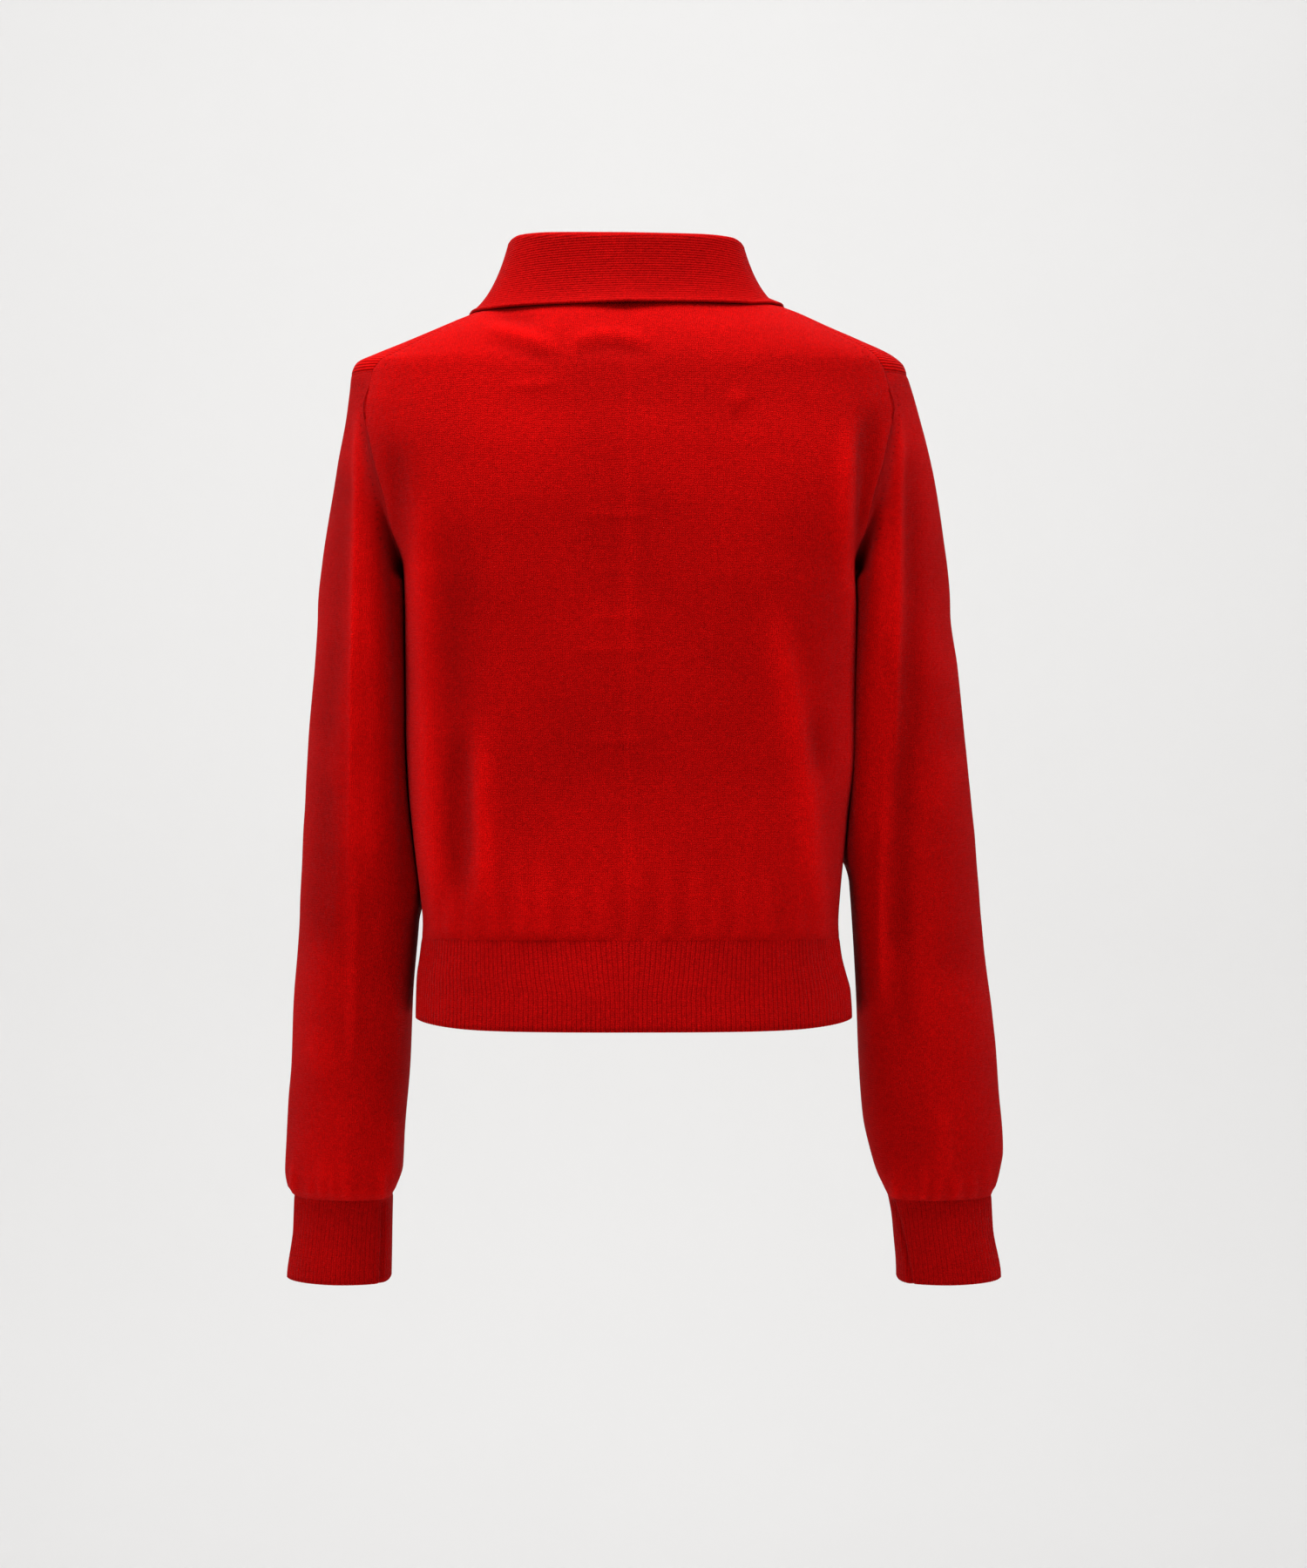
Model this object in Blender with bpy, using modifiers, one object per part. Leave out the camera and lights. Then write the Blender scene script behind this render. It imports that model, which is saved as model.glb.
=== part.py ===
"""A long-sleeved knit polo shirt, worn: it hangs as it does on a figure, with nobody in it.

Metres, +Z up. The front faces -Y and the wearer's left is +X. The origin is the middle of
the neck, level with the high points of the shoulders. Sizes below are in millimetres.

The shirt's outer side is worked out first, as one surface in which neighbouring pieces share
the points of their seams. Each piece is then a wall on the inside of its own part of that
surface, drawn back from its seams, so that no two pieces touch.
"""

import math

import bmesh
import bpy
from mathutils import Matrix, Vector
from mathutils.bvhtree import BVHTree

MM = 0.001

# Cloth
PANEL_WALL = 2.0
RIB_WALL = 2.4
COLLAR_WALL = 2.2
SEAM_GAP = 0.58

# Levels, from the floor up
HEM_Z = -503.0
RIB_TOP_Z = -444.0
UNDERARM_Z = -197.0
SHOULDER_Z = -66.0  # where the sleeve's head meets the shoulder strap
SIDE_NECK_Z = -4.0
BACK_NECK_Z = -13.0
FRONT_NECK_Z = -75.0

NECK_HALF_WIDTH = 72.0
FRONT_NECK_ROUNDNESS = 1.7
STRAP_NECK_ANGLE = 20.0  # degrees round the front neckline at which the shoulder strap starts

# Placket and buttons
PLACKET_HALF_WIDTH = 14.0
BUTTON_RADIUS = 5.5
BUTTON_THICKNESS = 2.4
BUTTON_CENTRES_Z = (-94.0, -134.0, -174.0)
BUTTON_SIDES = 16
BUTTON_ROUNDING = 0.7

MITRE_LIMIT = 0.75  # a wall grows by no more than a third where it turns a corner

# How finely the pieces are divided
HALF_PANEL_COLUMNS = 8
RIB_ROWS = 3
BODY_ROWS = 8
ARMHOLE_ROWS = 6
STRAP_COLUMNS = 8
CUFF_ROWS = 3
CAP_ROWS = 5

# The body at each level: half widths to the wearer's left and right, depths behind and in
# front of the origin, and how square its corners are (2 is an ellipse). Beside the armholes,
# from UNDERARM_Z to SHOULDER_Z, the half widths run on through the sleeves.
BODY_COLUMNS = ("z", "left", "right", "back", "front", "square")
BODY = (
    (-503.0, 144.0, 150.5, 98.0, 104.0, 2.5),
    (-482.0, 143.5, 149.4, 96.0, 102.0, 2.5),
    (-470.0, 142.8, 146.5, 94.0, 101.0, 2.6),
    (-458.0, 141.0, 143.5, 92.0, 100.0, 2.7),
    (-444.0, 139.4, 141.6, 90.5, 100.0, 2.8),
    (-434.0, 138.8, 141.0, 90.5, 103.0, 2.9),
    (-412.0, 140.6, 142.4, 91.0, 108.0, 3.0),
    (-388.0, 143.5, 144.7, 91.5, 111.0, 3.0),
    (-340.0, 148.5, 149.0, 92.0, 115.0, 2.9),
    (-300.0, 150.0, 150.0, 93.0, 118.0, 2.8),
    (-230.0, 150.0, 150.0, 98.0, 124.0, 2.7),
    (-197.0, 150.0, 150.0, 100.0, 121.0, 2.6),
    (-160.0, 172.0, 172.0, 101.0, 107.0, 2.5),
    (-120.0, 188.0, 188.0, 98.0, 87.0, 2.5),
    (-90.0, 191.5, 191.5, 93.0, 74.0, 2.4),
    (-66.0, 187.5, 187.5, 88.0, 66.0, 2.3),
    (-58.8, 184.0, 185.5, 85.5, 64.0, 2.3),
    (-53.0, 172.0, 179.4, 82.5, 62.0, 2.3),
    (-41.2, 145.2, 153.6, 74.5, 57.0, 2.3),
    (-29.4, 118.0, 126.8, 63.5, 53.0, 2.2),
    (-24.5, 106.0, 115.5, 58.5, 51.0, 2.2),
    (-15.0, 87.0, 91.0, 52.5, 47.0, 2.1),
    (-4.0, 72.0, 72.0, 48.5, 44.0, 2.1),
)

# The armhole, as degrees round the body from its side: behind, and in front.
ARMHOLE_COLUMNS = ("z", "behind", "before")
ARMHOLE = (
    (-197.0, 0.0, 0.0),
    (-180.0, 12.5, 14.0),
    (-160.0, 23.5, 26.0),
    (-140.0, 26.5, 30.0),
    (-118.0, 26.8, 31.0),
    (-92.0, 24.8, 30.0),
    (-66.0, 26.0, 27.0),
)

# The shoulder strap, which is the front carried over the shoulder: its seam on the back and
# the line where it leaves the front, in degrees round the body.
STRAP_COLUMNS_TABLE = ("z", "behind", "before")
STRAP = (
    (-66.0, 26.0, 27.0),
    (-59.0, 27.5, 28.0),
    (-51.0, 27.0, 30.0),
    (-42.0, 24.0, 33.0),
    (-32.0, 20.0, 37.0),
    (-21.0, 16.5, 41.0),
    (-5.0, 15.0, 0.0),
)

# The two large folds that hang on the back: a ridge or, where the height is negative, a
# hollow, along a line from its upper to its lower end.
FOLD_COLUMNS = ("x_up", "z_up", "x_down", "z_down", "width", "height")
BACK_FOLDS = (
    (94.0, -290.0, 93.0, -470.0, 12.0, 3.5),
    (111.0, -270.0, 113.0, -470.0, 12.0, -4.0),
    (-94.0, -205.0, -123.0, -455.0, 15.0, 5.0),
    (-124.0, -235.0, -136.0, -400.0, 13.0, -4.0),
)

# The sleeves, which hang a little forward: the outer and inner sides, the crease that runs
# down behind, the middle, the depths behind and in front of it, and how blunt the section is
# outwards and inwards of the crease (1 is a knife edge and 2 an ellipse).
SLEEVE_COLUMNS = (
    "z", "outer", "inner", "crease", "middle_y", "back", "front", "blunt", "inner_blunt"
)
LEFT_SLEEVE = (
    (-225.0, 209.7, 153.0, 183.6, -10.0, 62.0, 62.0, 1.25, 1.70),
    (-262.0, 213.0, 151.6, 184.0, -13.0, 61.0, 61.0, 1.28, 2.20),
    (-300.0, 216.7, 151.4, 184.2, -16.0, 60.0, 60.0, 1.30, 2.40),
    (-330.0, 218.8, 150.3, 184.9, -18.0, 58.0, 59.0, 1.35, 2.40),
    (-360.0, 220.5, 148.2, 185.6, -20.0, 56.0, 58.0, 1.40, 2.40),
    (-400.0, 223.0, 144.1, 186.9, -22.0, 53.0, 56.0, 1.50, 2.40),
    (-418.0, 224.0, 142.6, 187.6, -23.0, 52.0, 55.0, 1.55, 2.35),
    (-436.0, 224.9, 143.6, 188.2, -24.0, 51.0, 54.0, 1.60, 2.30),
    (-483.0, 227.4, 147.6, 188.5, -27.0, 50.0, 50.0, 1.60, 2.20),
    (-531.0, 230.3, 149.6, 187.8, -29.5, 48.0, 48.0, 1.60, 2.00),
    (-578.0, 234.3, 153.5, 187.6, -32.0, 45.0, 45.0, 1.60, 1.90),
    (-603.0, 235.0, 154.8, 187.3, -33.0, 43.0, 43.0, 1.60, 1.80),
    (-615.0, 233.2, 158.9, 187.1, -33.5, 39.0, 40.0, 1.75, 1.85),
    (-621.0, 228.6, 161.9, 189.9, -34.0, 35.0, 36.0, 1.90, 1.90),
    (-643.0, 229.5, 162.2, 192.0, -35.0, 35.0, 35.0, 1.90, 1.90),
    (-677.0, 233.7, 162.9, 194.0, -36.0, 36.0, 36.0, 1.90, 1.90),
)
RIGHT_SLEEVE = (
    (-225.0, 217.3, 153.0, 178.2, -10.0, 62.0, 62.0, 1.25, 1.70),
    (-262.0, 222.2, 151.6, 178.0, -13.0, 61.0, 61.0, 1.30, 2.20),
    (-300.0, 227.1, 151.4, 177.7, -16.0, 60.0, 60.0, 1.35, 2.40),
    (-330.0, 230.2, 150.7, 177.4, -18.0, 58.0, 59.0, 1.50, 2.40),
    (-360.0, 233.4, 148.9, 177.1, -20.0, 56.0, 58.0, 1.60, 2.40),
    (-386.0, 236.0, 147.6, 178.4, -21.0, 55.0, 57.0, 1.70, 2.40),
    (-400.0, 237.3, 149.2, 179.3, -22.0, 54.0, 56.0, 1.75, 2.40),
    (-436.0, 239.9, 152.0, 184.5, -24.0, 52.0, 54.0, 1.80, 2.30),
    (-483.0, 245.0, 154.7, 190.7, -27.0, 50.0, 50.0, 1.80, 2.20),
    (-531.0, 251.0, 156.6, 196.9, -29.5, 48.0, 48.0, 1.80, 2.00),
    (-567.0, 253.9, 159.4, 202.1, -31.0, 46.0, 46.0, 1.75, 1.90),
    (-591.0, 254.9, 164.5, 205.4, -32.5, 43.0, 43.0, 1.70, 1.80),
    (-603.0, 253.1, 168.1, 205.4, -33.0, 42.0, 42.0, 1.70, 1.80),
    (-615.0, 250.1, 173.5, 207.7, -33.5, 39.0, 39.0, 1.80, 1.85),
    (-621.0, 247.0, 176.2, 208.9, -34.0, 35.0, 36.0, 1.90, 1.90),
    (-643.0, 248.4, 180.2, 211.0, -35.0, 35.0, 35.0, 1.90, 1.90),
    (-677.0, 253.7, 182.7, 215.0, -36.0, 36.0, 36.0, 1.90, 1.90),
)
CUFF_TOP_Z = -621.0
CUFF_BOTTOM_Z = -677.0
SLEEVE_LEVELS = (
    -225.0, -262.0, -300.0, -340.0, -386.0, -418.0,
    -450.0, -483.0, -531.0, -567.0, -591.0, -608.0, CUFF_TOP_Z,
)
SLEEVE_TILT = 0.06  # how much lower a cuff is behind than in front, for its depth

CAP_REACH = {1: 3.0, -1: 33.0}  # how far each sleeve's head carries on outwards as it falls
UNDERARM_REACH = 20.0
CAP_STEEPNESS = 0.4

# The collar, from the front edge round to the middle of the back: the share of the half
# neckline, the line it folds over on, its free edge, and how far it sags between the two.
# These are its hidden side.
COLLAR_COLUMNS = ("share", "fold_x", "fold_y", "fold_z", "edge_x", "edge_y", "edge_z", "sag")
COLLAR = (
    (0.00, 5.0, -73.0, -67.0, 50.0, -101.0, -137.0, 0.0),
    (0.14, 26.0, -72.5, -58.0, 76.0, -92.0, -116.0, 1.0),
    (0.30, 51.0, -60.0, -32.0, 99.0, -72.0, -83.0, 4.0),
    (0.45, 70.0, -35.0, 2.0, 107.3, -42.0, -48.5, 9.0),
    (0.58, 76.5, -4.0, 21.5, 105.0, -6.0, -23.0, 12.0),
    (0.70, 70.0, 22.0, 24.5, 95.0, 26.0, -22.5, 9.0),
    (0.82, 52.0, 39.0, 24.5, 68.0, 50.0, -22.0, 5.0),
    (1.00, 0.0, 46.5, 24.2, 0.0, 64.5, -21.5, 0.0),
)
COLLAR_SHIFT = 2.0  # the collar sits a little to the wearer's left
COLLAR_FOLD_TILT = 0.012  # how fast its fold, and then its edge, rises to the wearer's left
COLLAR_EDGE_TILT = -0.015
COLLAR_FOLD_RADIUS = 1.9
COLLAR_SAG_INWARDS = 0.3  # its sag is mostly downwards
COLLAR_STAND_ROWS = 2
COLLAR_FOLD_ROWS = 3
COLLAR_FALL_ROWS = 3
COLLAR_OFF_BODY = 1.6
COLLAR_FRONT_GAP = 1.2
COLLAR_FRONT_RISE = 1.0  # its front corners stand a little above the placket

COLOURS = {
    "cloth": (0.42, 0.006, 0.006, 1.0),
    "rib": (0.39, 0.006, 0.007, 1.0),
    "button": (0.30, 0.008, 0.009, 1.0),
}


class Table:
    """Rows of numbers against their first column, joined by smooth curves without overshoot."""

    def __init__(self, columns, rows):
        self.rows = sorted(rows)
        self.keys = [row[0] for row in self.rows]
        self.columns = {name: i for i, name in enumerate(columns)}

    def slope(self, i, column):
        """The curve's slope at row i: nought at a turning point, as well as at an end."""
        if i in (0, len(self.keys) - 1):
            return 0.0
        values = [row[column] for row in self.rows[i - 1 : i + 2]]
        before = (values[1] - values[0]) / (self.keys[i] - self.keys[i - 1])
        after = (values[2] - values[1]) / (self.keys[i + 1] - self.keys[i])
        if before * after <= 0.0:
            return 0.0
        return 2.0 * before * after / (before + after)

    def at(self, name, key):
        column = self.columns[name]
        if key <= self.keys[0]:
            return self.rows[0][column]
        if key >= self.keys[-1]:
            return self.rows[-1][column]
        i = max(k for k in range(len(self.keys)) if self.keys[k] <= key)
        step = self.keys[i + 1] - self.keys[i]
        s = (key - self.keys[i]) / step
        low, high = self.rows[i][column], self.rows[i + 1][column]
        leaving, arriving = self.slope(i, column) * step, self.slope(i + 1, column) * step
        return (
            (1.0 + 2.0 * s) * (1.0 - s) ** 2 * low
            + s * (1.0 - s) ** 2 * leaving
            + s * s * (3.0 - 2.0 * s) * high
            + s * s * (s - 1.0) * arriving
        )


BODY_TABLE = Table(BODY_COLUMNS, BODY)
ARMHOLE_TABLE = Table(ARMHOLE_COLUMNS, ARMHOLE)
STRAP_TABLE = Table(STRAP_COLUMNS_TABLE, STRAP)
COLLAR_TABLE = Table(COLLAR_COLUMNS, COLLAR)
SLEEVE_TABLES = {
    1: Table(SLEEVE_COLUMNS, LEFT_SLEEVE),
    -1: Table(SLEEVE_COLUMNS, RIGHT_SLEEVE),
}


def mix(low, high, share):
    return low + (high - low) * share


def power(value, exponent):
    """value to the exponent, keeping its sign."""
    return math.copysign(abs(value) ** exponent, value)


def fold_height(x, z):
    """How far the back's large folds lift the cloth here."""
    height = 0.0
    for x_up, z_up, x_down, z_down, width, rise in BACK_FOLDS:
        along = (z - z_up) / (z_down - z_up)
        if 0.0 < along < 1.0:
            off = (x - mix(x_up, x_down, along)) / width
            height += rise * math.exp(-off * off) * math.sin(math.pi * along)
    return height


def body_point(angle, z):
    """A point of the body's outer side: 0 degrees is the left side and 90 the back."""
    turn = math.radians(angle)
    square = BODY_TABLE.at("square", z)
    half_width = BODY_TABLE.at("left" if math.cos(turn) >= 0.0 else "right", z)
    depth = BODY_TABLE.at("back" if math.sin(turn) >= 0.0 else "front", z)
    x = half_width * power(math.cos(turn), 2.0 / square)
    y = depth * power(math.sin(turn), 2.0 / square)
    if y > 0.0:
        y += fold_height(x, z)
    return Vector((x, y, z))


def angle_at(x, z, side):
    """The angle, from the side seam, at which the body is x from its middle."""
    half_width = BODY_TABLE.at("left" if side > 0 else "right", z)
    share = min(1.0, x / half_width)
    return math.degrees(math.acos(share ** (BODY_TABLE.at("square", z) / 2.0)))


def turned(angle, side, back):
    """An angle from the side seam as one round the body, on either side, behind or in front."""
    angle = angle if back else -angle
    return angle if side > 0 else 180.0 - angle


def spread(low, high, count):
    return [mix(low, high, i / count) for i in range(count + 1)]


def coons(bottom, top, inner, outer):
    """A patch of (angle, z) between four borders: rows go up, columns go outwards."""
    rows, columns = len(inner), len(bottom)
    grid = []
    for r in range(rows):
        v = r / (rows - 1)
        row = []
        for c in range(columns):
            u = c / (columns - 1)
            row.append(
                tuple(
                    mix(bottom[c][k], top[c][k], v)
                    + mix(inner[r][k], outer[r][k], u)
                    - mix(
                        mix(bottom[0][k], bottom[-1][k], u), mix(top[0][k], top[-1][k], u), v
                    )
                    for k in (0, 1)
                )
            )
        grid.append(row)
    return grid


def front_neckline(turn):
    """The front neckline's x and z, from the side of the neck (0) to the middle (90)."""
    turn = math.radians(turn)
    drop = (FRONT_NECK_Z - SIDE_NECK_Z) * math.sin(turn) ** FRONT_NECK_ROUNDNESS
    return NECK_HALF_WIDTH * math.cos(turn), SIDE_NECK_Z + drop


def armhole_levels():
    return [row[0] for row in ARMHOLE]


def shoulder_levels():
    return [row[0] for row in STRAP]


def back_half():
    """Half the back above the underarm, as (angle from the side seam, z)."""
    levels = armhole_levels() + shoulder_levels()[1:]
    angles = [ARMHOLE_TABLE.at("behind", z) for z in armhole_levels()]
    angles += [STRAP_TABLE.at("behind", z) for z in shoulder_levels()[1:]]
    outer = list(zip(angles, levels))
    rows = len(levels) - 1
    inner = [(90.0, mix(UNDERARM_Z, BACK_NECK_Z, i / rows)) for i in range(rows + 1)]
    shares = [c / HALF_PANEL_COLUMNS for c in range(HALF_PANEL_COLUMNS + 1)]
    bottom = [(mix(90.0, 0.0, share), UNDERARM_Z) for share in shares]
    rise = outer[-1][1] - BACK_NECK_Z
    top = [(mix(90.0, angles[-1], s), BACK_NECK_Z + rise * s * s) for s in shares]
    return coons(bottom, top, inner, outer)


def front_half(side):
    """Half the front above the underarm, from the placket's side to the armhole and strap."""
    neck_x, neck_z = front_neckline(STRAP_NECK_ANGLE)
    levels = armhole_levels() + shoulder_levels()[1:-1] + [neck_z]
    angles = [ARMHOLE_TABLE.at("before", z) for z in armhole_levels()]
    angles += [STRAP_TABLE.at("before", z) for z in shoulder_levels()[1:-1]]
    angles.append(angle_at(neck_x, neck_z, side))
    outer = list(zip(angles, levels))
    placket_turn = math.degrees(math.acos(PLACKET_HALF_WIDTH / NECK_HALF_WIDTH))
    top = []
    for turn in spread(placket_turn, STRAP_NECK_ANGLE, HALF_PANEL_COLUMNS):
        x, z = front_neckline(turn)
        top.append((angle_at(x, z, side), z))
    rows = len(levels) - 1
    inner = []
    for i in range(rows + 1):
        z = mix(UNDERARM_Z, top[0][1], i / rows)
        inner.append((angle_at(PLACKET_HALF_WIDTH, z, side), z))
    bottom = [(angle, UNDERARM_Z) for angle in spread(inner[0][0], 0.0, HALF_PANEL_COLUMNS)]
    return coons(bottom, top, inner, outer)


def strap_rows(side):
    """The strap over one shoulder, as (angle from the side seam, behind positive, z)."""
    before = [row[HALF_PANEL_COLUMNS] for row in front_half(side)][ARMHOLE_ROWS:]
    behind = [row[HALF_PANEL_COLUMNS] for row in back_half()][ARMHOLE_ROWS:]
    rows = []
    for (front_angle, front_z), (back_angle, back_z) in zip(before, behind):
        rows.append(
            [
                (mix(-front_angle, back_angle, s), mix(front_z, back_z, s))
                for s in spread(0.0, 1.0, STRAP_COLUMNS)
            ]
        )
    return rows


class Cloth:
    """The shirt's outer side: points that the pieces share, and each piece's faces."""

    def __init__(self):
        self.points = []
        self.numbers = {}
        self.panels = {}

    def number(self, point):
        key = tuple(round(value, 3) for value in point)
        if key not in self.numbers:
            self.numbers[key] = len(self.points)
            self.points.append(Vector(point))
        return self.numbers[key]

    def patch(self, panel, grid, turn_over=False):
        """Adds a grid of points to a panel. Rows go up and columns to the wearer's left."""
        faces = self.panels.setdefault(panel, [])
        numbers = [[self.number(point) for point in row] for row in grid]
        for low, high in zip(numbers, numbers[1:]):
            for i in range(len(low) - 1):
                corners = [low[i], low[i + 1], high[i + 1], high[i]]
                corners = [c for k, c in enumerate(corners) if c != corners[k - 1]]
                faces.append(corners[::-1] if turn_over else corners)

    def face_normal(self, corners):
        total = Vector()
        for a, b in zip(corners, corners[1:] + corners[:1]):
            total += self.points[a].cross(self.points[b])
        return total

    def normals(self):
        """Each point's outward direction, longer where the cloth bends, as a mitre is.

        On a seam it lies halfway between the cloth on either side.
        """
        around = [{} for _ in self.points]
        for panel, faces in self.panels.items():
            for corners in faces:
                normal = self.face_normal(corners).normalized()
                for corner in corners:
                    around[corner].setdefault(section_of(panel), []).append(normal)
        result = []
        for near in around:
            means = [sum(normals, Vector()).normalized() for normals in near.values()]
            mean = sum(means, Vector()).normalized()
            flattest = min(mean.dot(normal) for normals in near.values() for normal in normals)
            result.append(mean / max(flattest, MITRE_LIMIT))
        return result


def section_of(panel):
    """Which of the shirt's tubes a panel belongs to: the collar, a sleeve or the body."""
    if panel == "collar":
        return "collar"
    return "sleeve" if panel.startswith(("sleeve", "cuff")) else "body"



def placed(grid, side, back):
    """Points of a half panel's (angle from the side seam, z) grid."""
    return [[body_point(turned(angle, side, back), z) for angle, z in row] for row in grid]


def lower_levels():
    """Levels from the hem up to the underarm: those of the rib, and those above it."""
    return spread(HEM_Z, RIB_TOP_Z, RIB_ROWS), spread(RIB_TOP_Z, UNDERARM_Z, BODY_ROWS)


def lower_half(levels, side, back):
    """Half the body between the given levels, from the middle or the placket's line out."""
    grid = []
    for z in levels:
        start = 90.0 if back else angle_at(PLACKET_HALF_WIDTH, z, side)
        grid.append([(angle, z) for angle in spread(start, 0.0, HALF_PANEL_COLUMNS)])
    return placed(grid, side, back)


def middle_strip(left, right):
    """The strip between the two halves of the front, in line with the placket."""
    grid = []
    for left_row, right_row in zip(left, right):
        z = left_row[0].z
        grid.append([right_row[0], body_point(-90.0, z), left_row[0]])
    return grid


def add_body(cloth):
    rib_levels, panel_levels = lower_levels()
    for levels, back_name, front_name in (
        (rib_levels, "hem_rib_back", "hem_rib_front"),
        (panel_levels, "back", "front"),
    ):
        halves = {}
        for side in (1, -1):
            cloth.patch(back_name, lower_half(levels, side, True), turn_over=side > 0)
            halves[side] = lower_half(levels, side, False)
            cloth.patch(front_name, halves[side], turn_over=side < 0)
        cloth.patch(front_name, middle_strip(halves[1], halves[-1]))
    upper = {}
    for side in (1, -1):
        cloth.patch("back", placed(back_half(), side, True), turn_over=side > 0)
        upper[side] = placed(front_half(side), side, False)
        cloth.patch("front", upper[side], turn_over=side < 0)
        cloth.patch("front", placed(strap_rows(side), side, True), turn_over=side < 0)
    cloth.patch("placket_under", middle_strip(upper[1], upper[-1]))


def armhole_ring(side):
    """The armhole's points, from the underarm up the back, over the strap and down the front."""
    behind = [row[HALF_PANEL_COLUMNS] for row in back_half()][: ARMHOLE_ROWS + 1]
    before = [row[HALF_PANEL_COLUMNS] for row in front_half(side)][: ARMHOLE_ROWS + 1]
    ring = [body_point(turned(angle, side, True), z) for angle, z in behind]
    over = strap_rows(side)[0][::-1]
    ring += [body_point(turned(angle, side, True), z) for angle, z in over[1:-1]]
    ring += [body_point(turned(angle, side, False), z) for angle, z in before[::-1]]
    return ring


def sleeve_angles():
    """Degrees round the sleeve for each point of its ring: 180 faces the body, 90 is behind."""
    behind = spread(180.0, 90.0, ARMHOLE_ROWS)
    over = spread(90.0, -90.0, STRAP_COLUMNS)
    before = spread(-90.0, -180.0, ARMHOLE_ROWS)
    return behind + over[1:-1] + before


def sleeve_point(side, angle, z):
    table = SLEEVE_TABLES[side]
    outer, inner = table.at("outer", z), table.at("inner", z)
    middle = (outer + inner) / 2.0
    turn = math.radians(angle)
    depth = table.at("back" if math.sin(turn) >= 0.0 else "front", z)
    blunt = table.at("blunt" if math.cos(turn) >= 0.0 else "inner_blunt", z)
    x = middle + (outer - inner) / 2.0 * power(math.cos(turn), 2.0 / blunt)
    x += (table.at("crease", z) - middle) * max(0.0, math.sin(turn)) ** 2
    off = depth * math.sin(turn)
    tilt = SLEEVE_TILT * (SLEEVE_LEVELS[0] - z) / (SLEEVE_LEVELS[0] - CUFF_BOTTOM_Z)
    return Vector((side * x, table.at("middle_y", z) + off, z - tilt * off))


def sleeve_head(side, start, angle, share):
    """A point between the armhole and the sleeve's first level ring."""
    end = sleeve_point(side, angle, SLEEVE_LEVELS[0])
    fall = start.z - end.z
    reach = mix(UNDERARM_REACH, CAP_REACH[side], fall / (SHOULDER_Z - SLEEVE_LEVELS[0]))
    leaving = Vector((side * reach, 0.0, -fall * CAP_STEEPNESS))
    arriving = Vector((0.0, 0.0, -fall))
    s = share
    return (
        start * ((1.0 + 2.0 * s) * (1.0 - s) ** 2)
        + leaving * (s * (1.0 - s) ** 2)
        + end * (s * s * (3.0 - 2.0 * s))
        + arriving * (s * s * (s - 1.0))
    )


def add_sleeve(cloth, side, name, cuff_name):
    ring = armhole_ring(side)
    angles = sleeve_angles()
    grid = []
    for share in spread(0.0, 1.0, CAP_ROWS):
        grid.append([sleeve_head(side, p, a, share) for p, a in zip(ring, angles)])
    for z in SLEEVE_LEVELS[1:]:
        grid.append([sleeve_point(side, angle, z) for angle in angles])
    cloth.patch(name, grid, turn_over=side < 0)
    cuff = []
    for z in spread(CUFF_TOP_Z, CUFF_BOTTOM_Z, CUFF_ROWS):
        cuff.append([sleeve_point(side, angle, z) for angle in angles])
    cloth.patch(cuff_name, cuff, turn_over=side < 0)


def half_neckline(side):
    """The neckline's points, from near the middle of the front to the middle of the back."""
    front = placed(front_half(side), side, False)[-1]
    strap = placed(strap_rows(side), side, True)[-1]
    back = placed(back_half(), side, True)[-1]
    start = body_point(-90.0, front[0].z + COLLAR_FRONT_RISE)
    start.x = side * COLLAR_FRONT_GAP
    return [start] + front + strap[1:] + back[::-1][1:]


def shares_along(points):
    lengths = [0.0]
    for a, b in zip(points, points[1:]):
        lengths.append(lengths[-1] + (b - a).length)
    return [length / lengths[-1] for length in lengths]


def collar_profile(side, base, share, body):
    """The collar's hidden side at one place round the neck, from the neckline to its edge."""
    def row(name):
        return COLLAR_TABLE.at(name, share)

    fold = Vector((side * row("fold_x") + COLLAR_SHIFT, row("fold_y"), row("fold_z")))
    edge = Vector((side * row("edge_x") + COLLAR_SHIFT, row("edge_y"), row("edge_z")))
    fold.z += COLLAR_FOLD_TILT * fold.x
    edge.z += COLLAR_EDGE_TILT * edge.x
    out = Vector((edge.x - fold.x, edge.y - fold.y, 0.0)).normalized()
    up = Vector((0.0, 0.0, 1.0))
    centre = fold - up * COLLAR_FOLD_RADIUS
    points = []
    stand_top = centre - out * COLLAR_FOLD_RADIUS
    for s in spread(0.0, 1.0, COLLAR_STAND_ROWS)[:-1]:
        points.append(base.lerp(stand_top, s))
    for turn in spread(0.0, math.pi, COLLAR_FOLD_ROWS):
        offset = up * math.sin(turn) - out * math.cos(turn)
        points.append(centre + offset * COLLAR_FOLD_RADIUS)
    start = points[-1]
    middle = start.lerp(edge, 0.5) - (out * COLLAR_SAG_INWARDS + up) * row("sag")
    for s in spread(0.0, 1.0, COLLAR_FALL_ROWS)[1:]:
        point = start.lerp(middle, s).lerp(middle.lerp(edge, s), s)
        points.append(lifted_off(point, body))
    return points


def lifted_off(point, body):
    """The point, or where it would lie nearer than COLLAR_OFF_BODY to the body, clear of it."""
    place, normal, _, _ = body.find_nearest(point)
    height = (point - place).dot(normal)
    if height >= COLLAR_OFF_BODY:
        return point
    return point + normal * (COLLAR_OFF_BODY - height)


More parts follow.
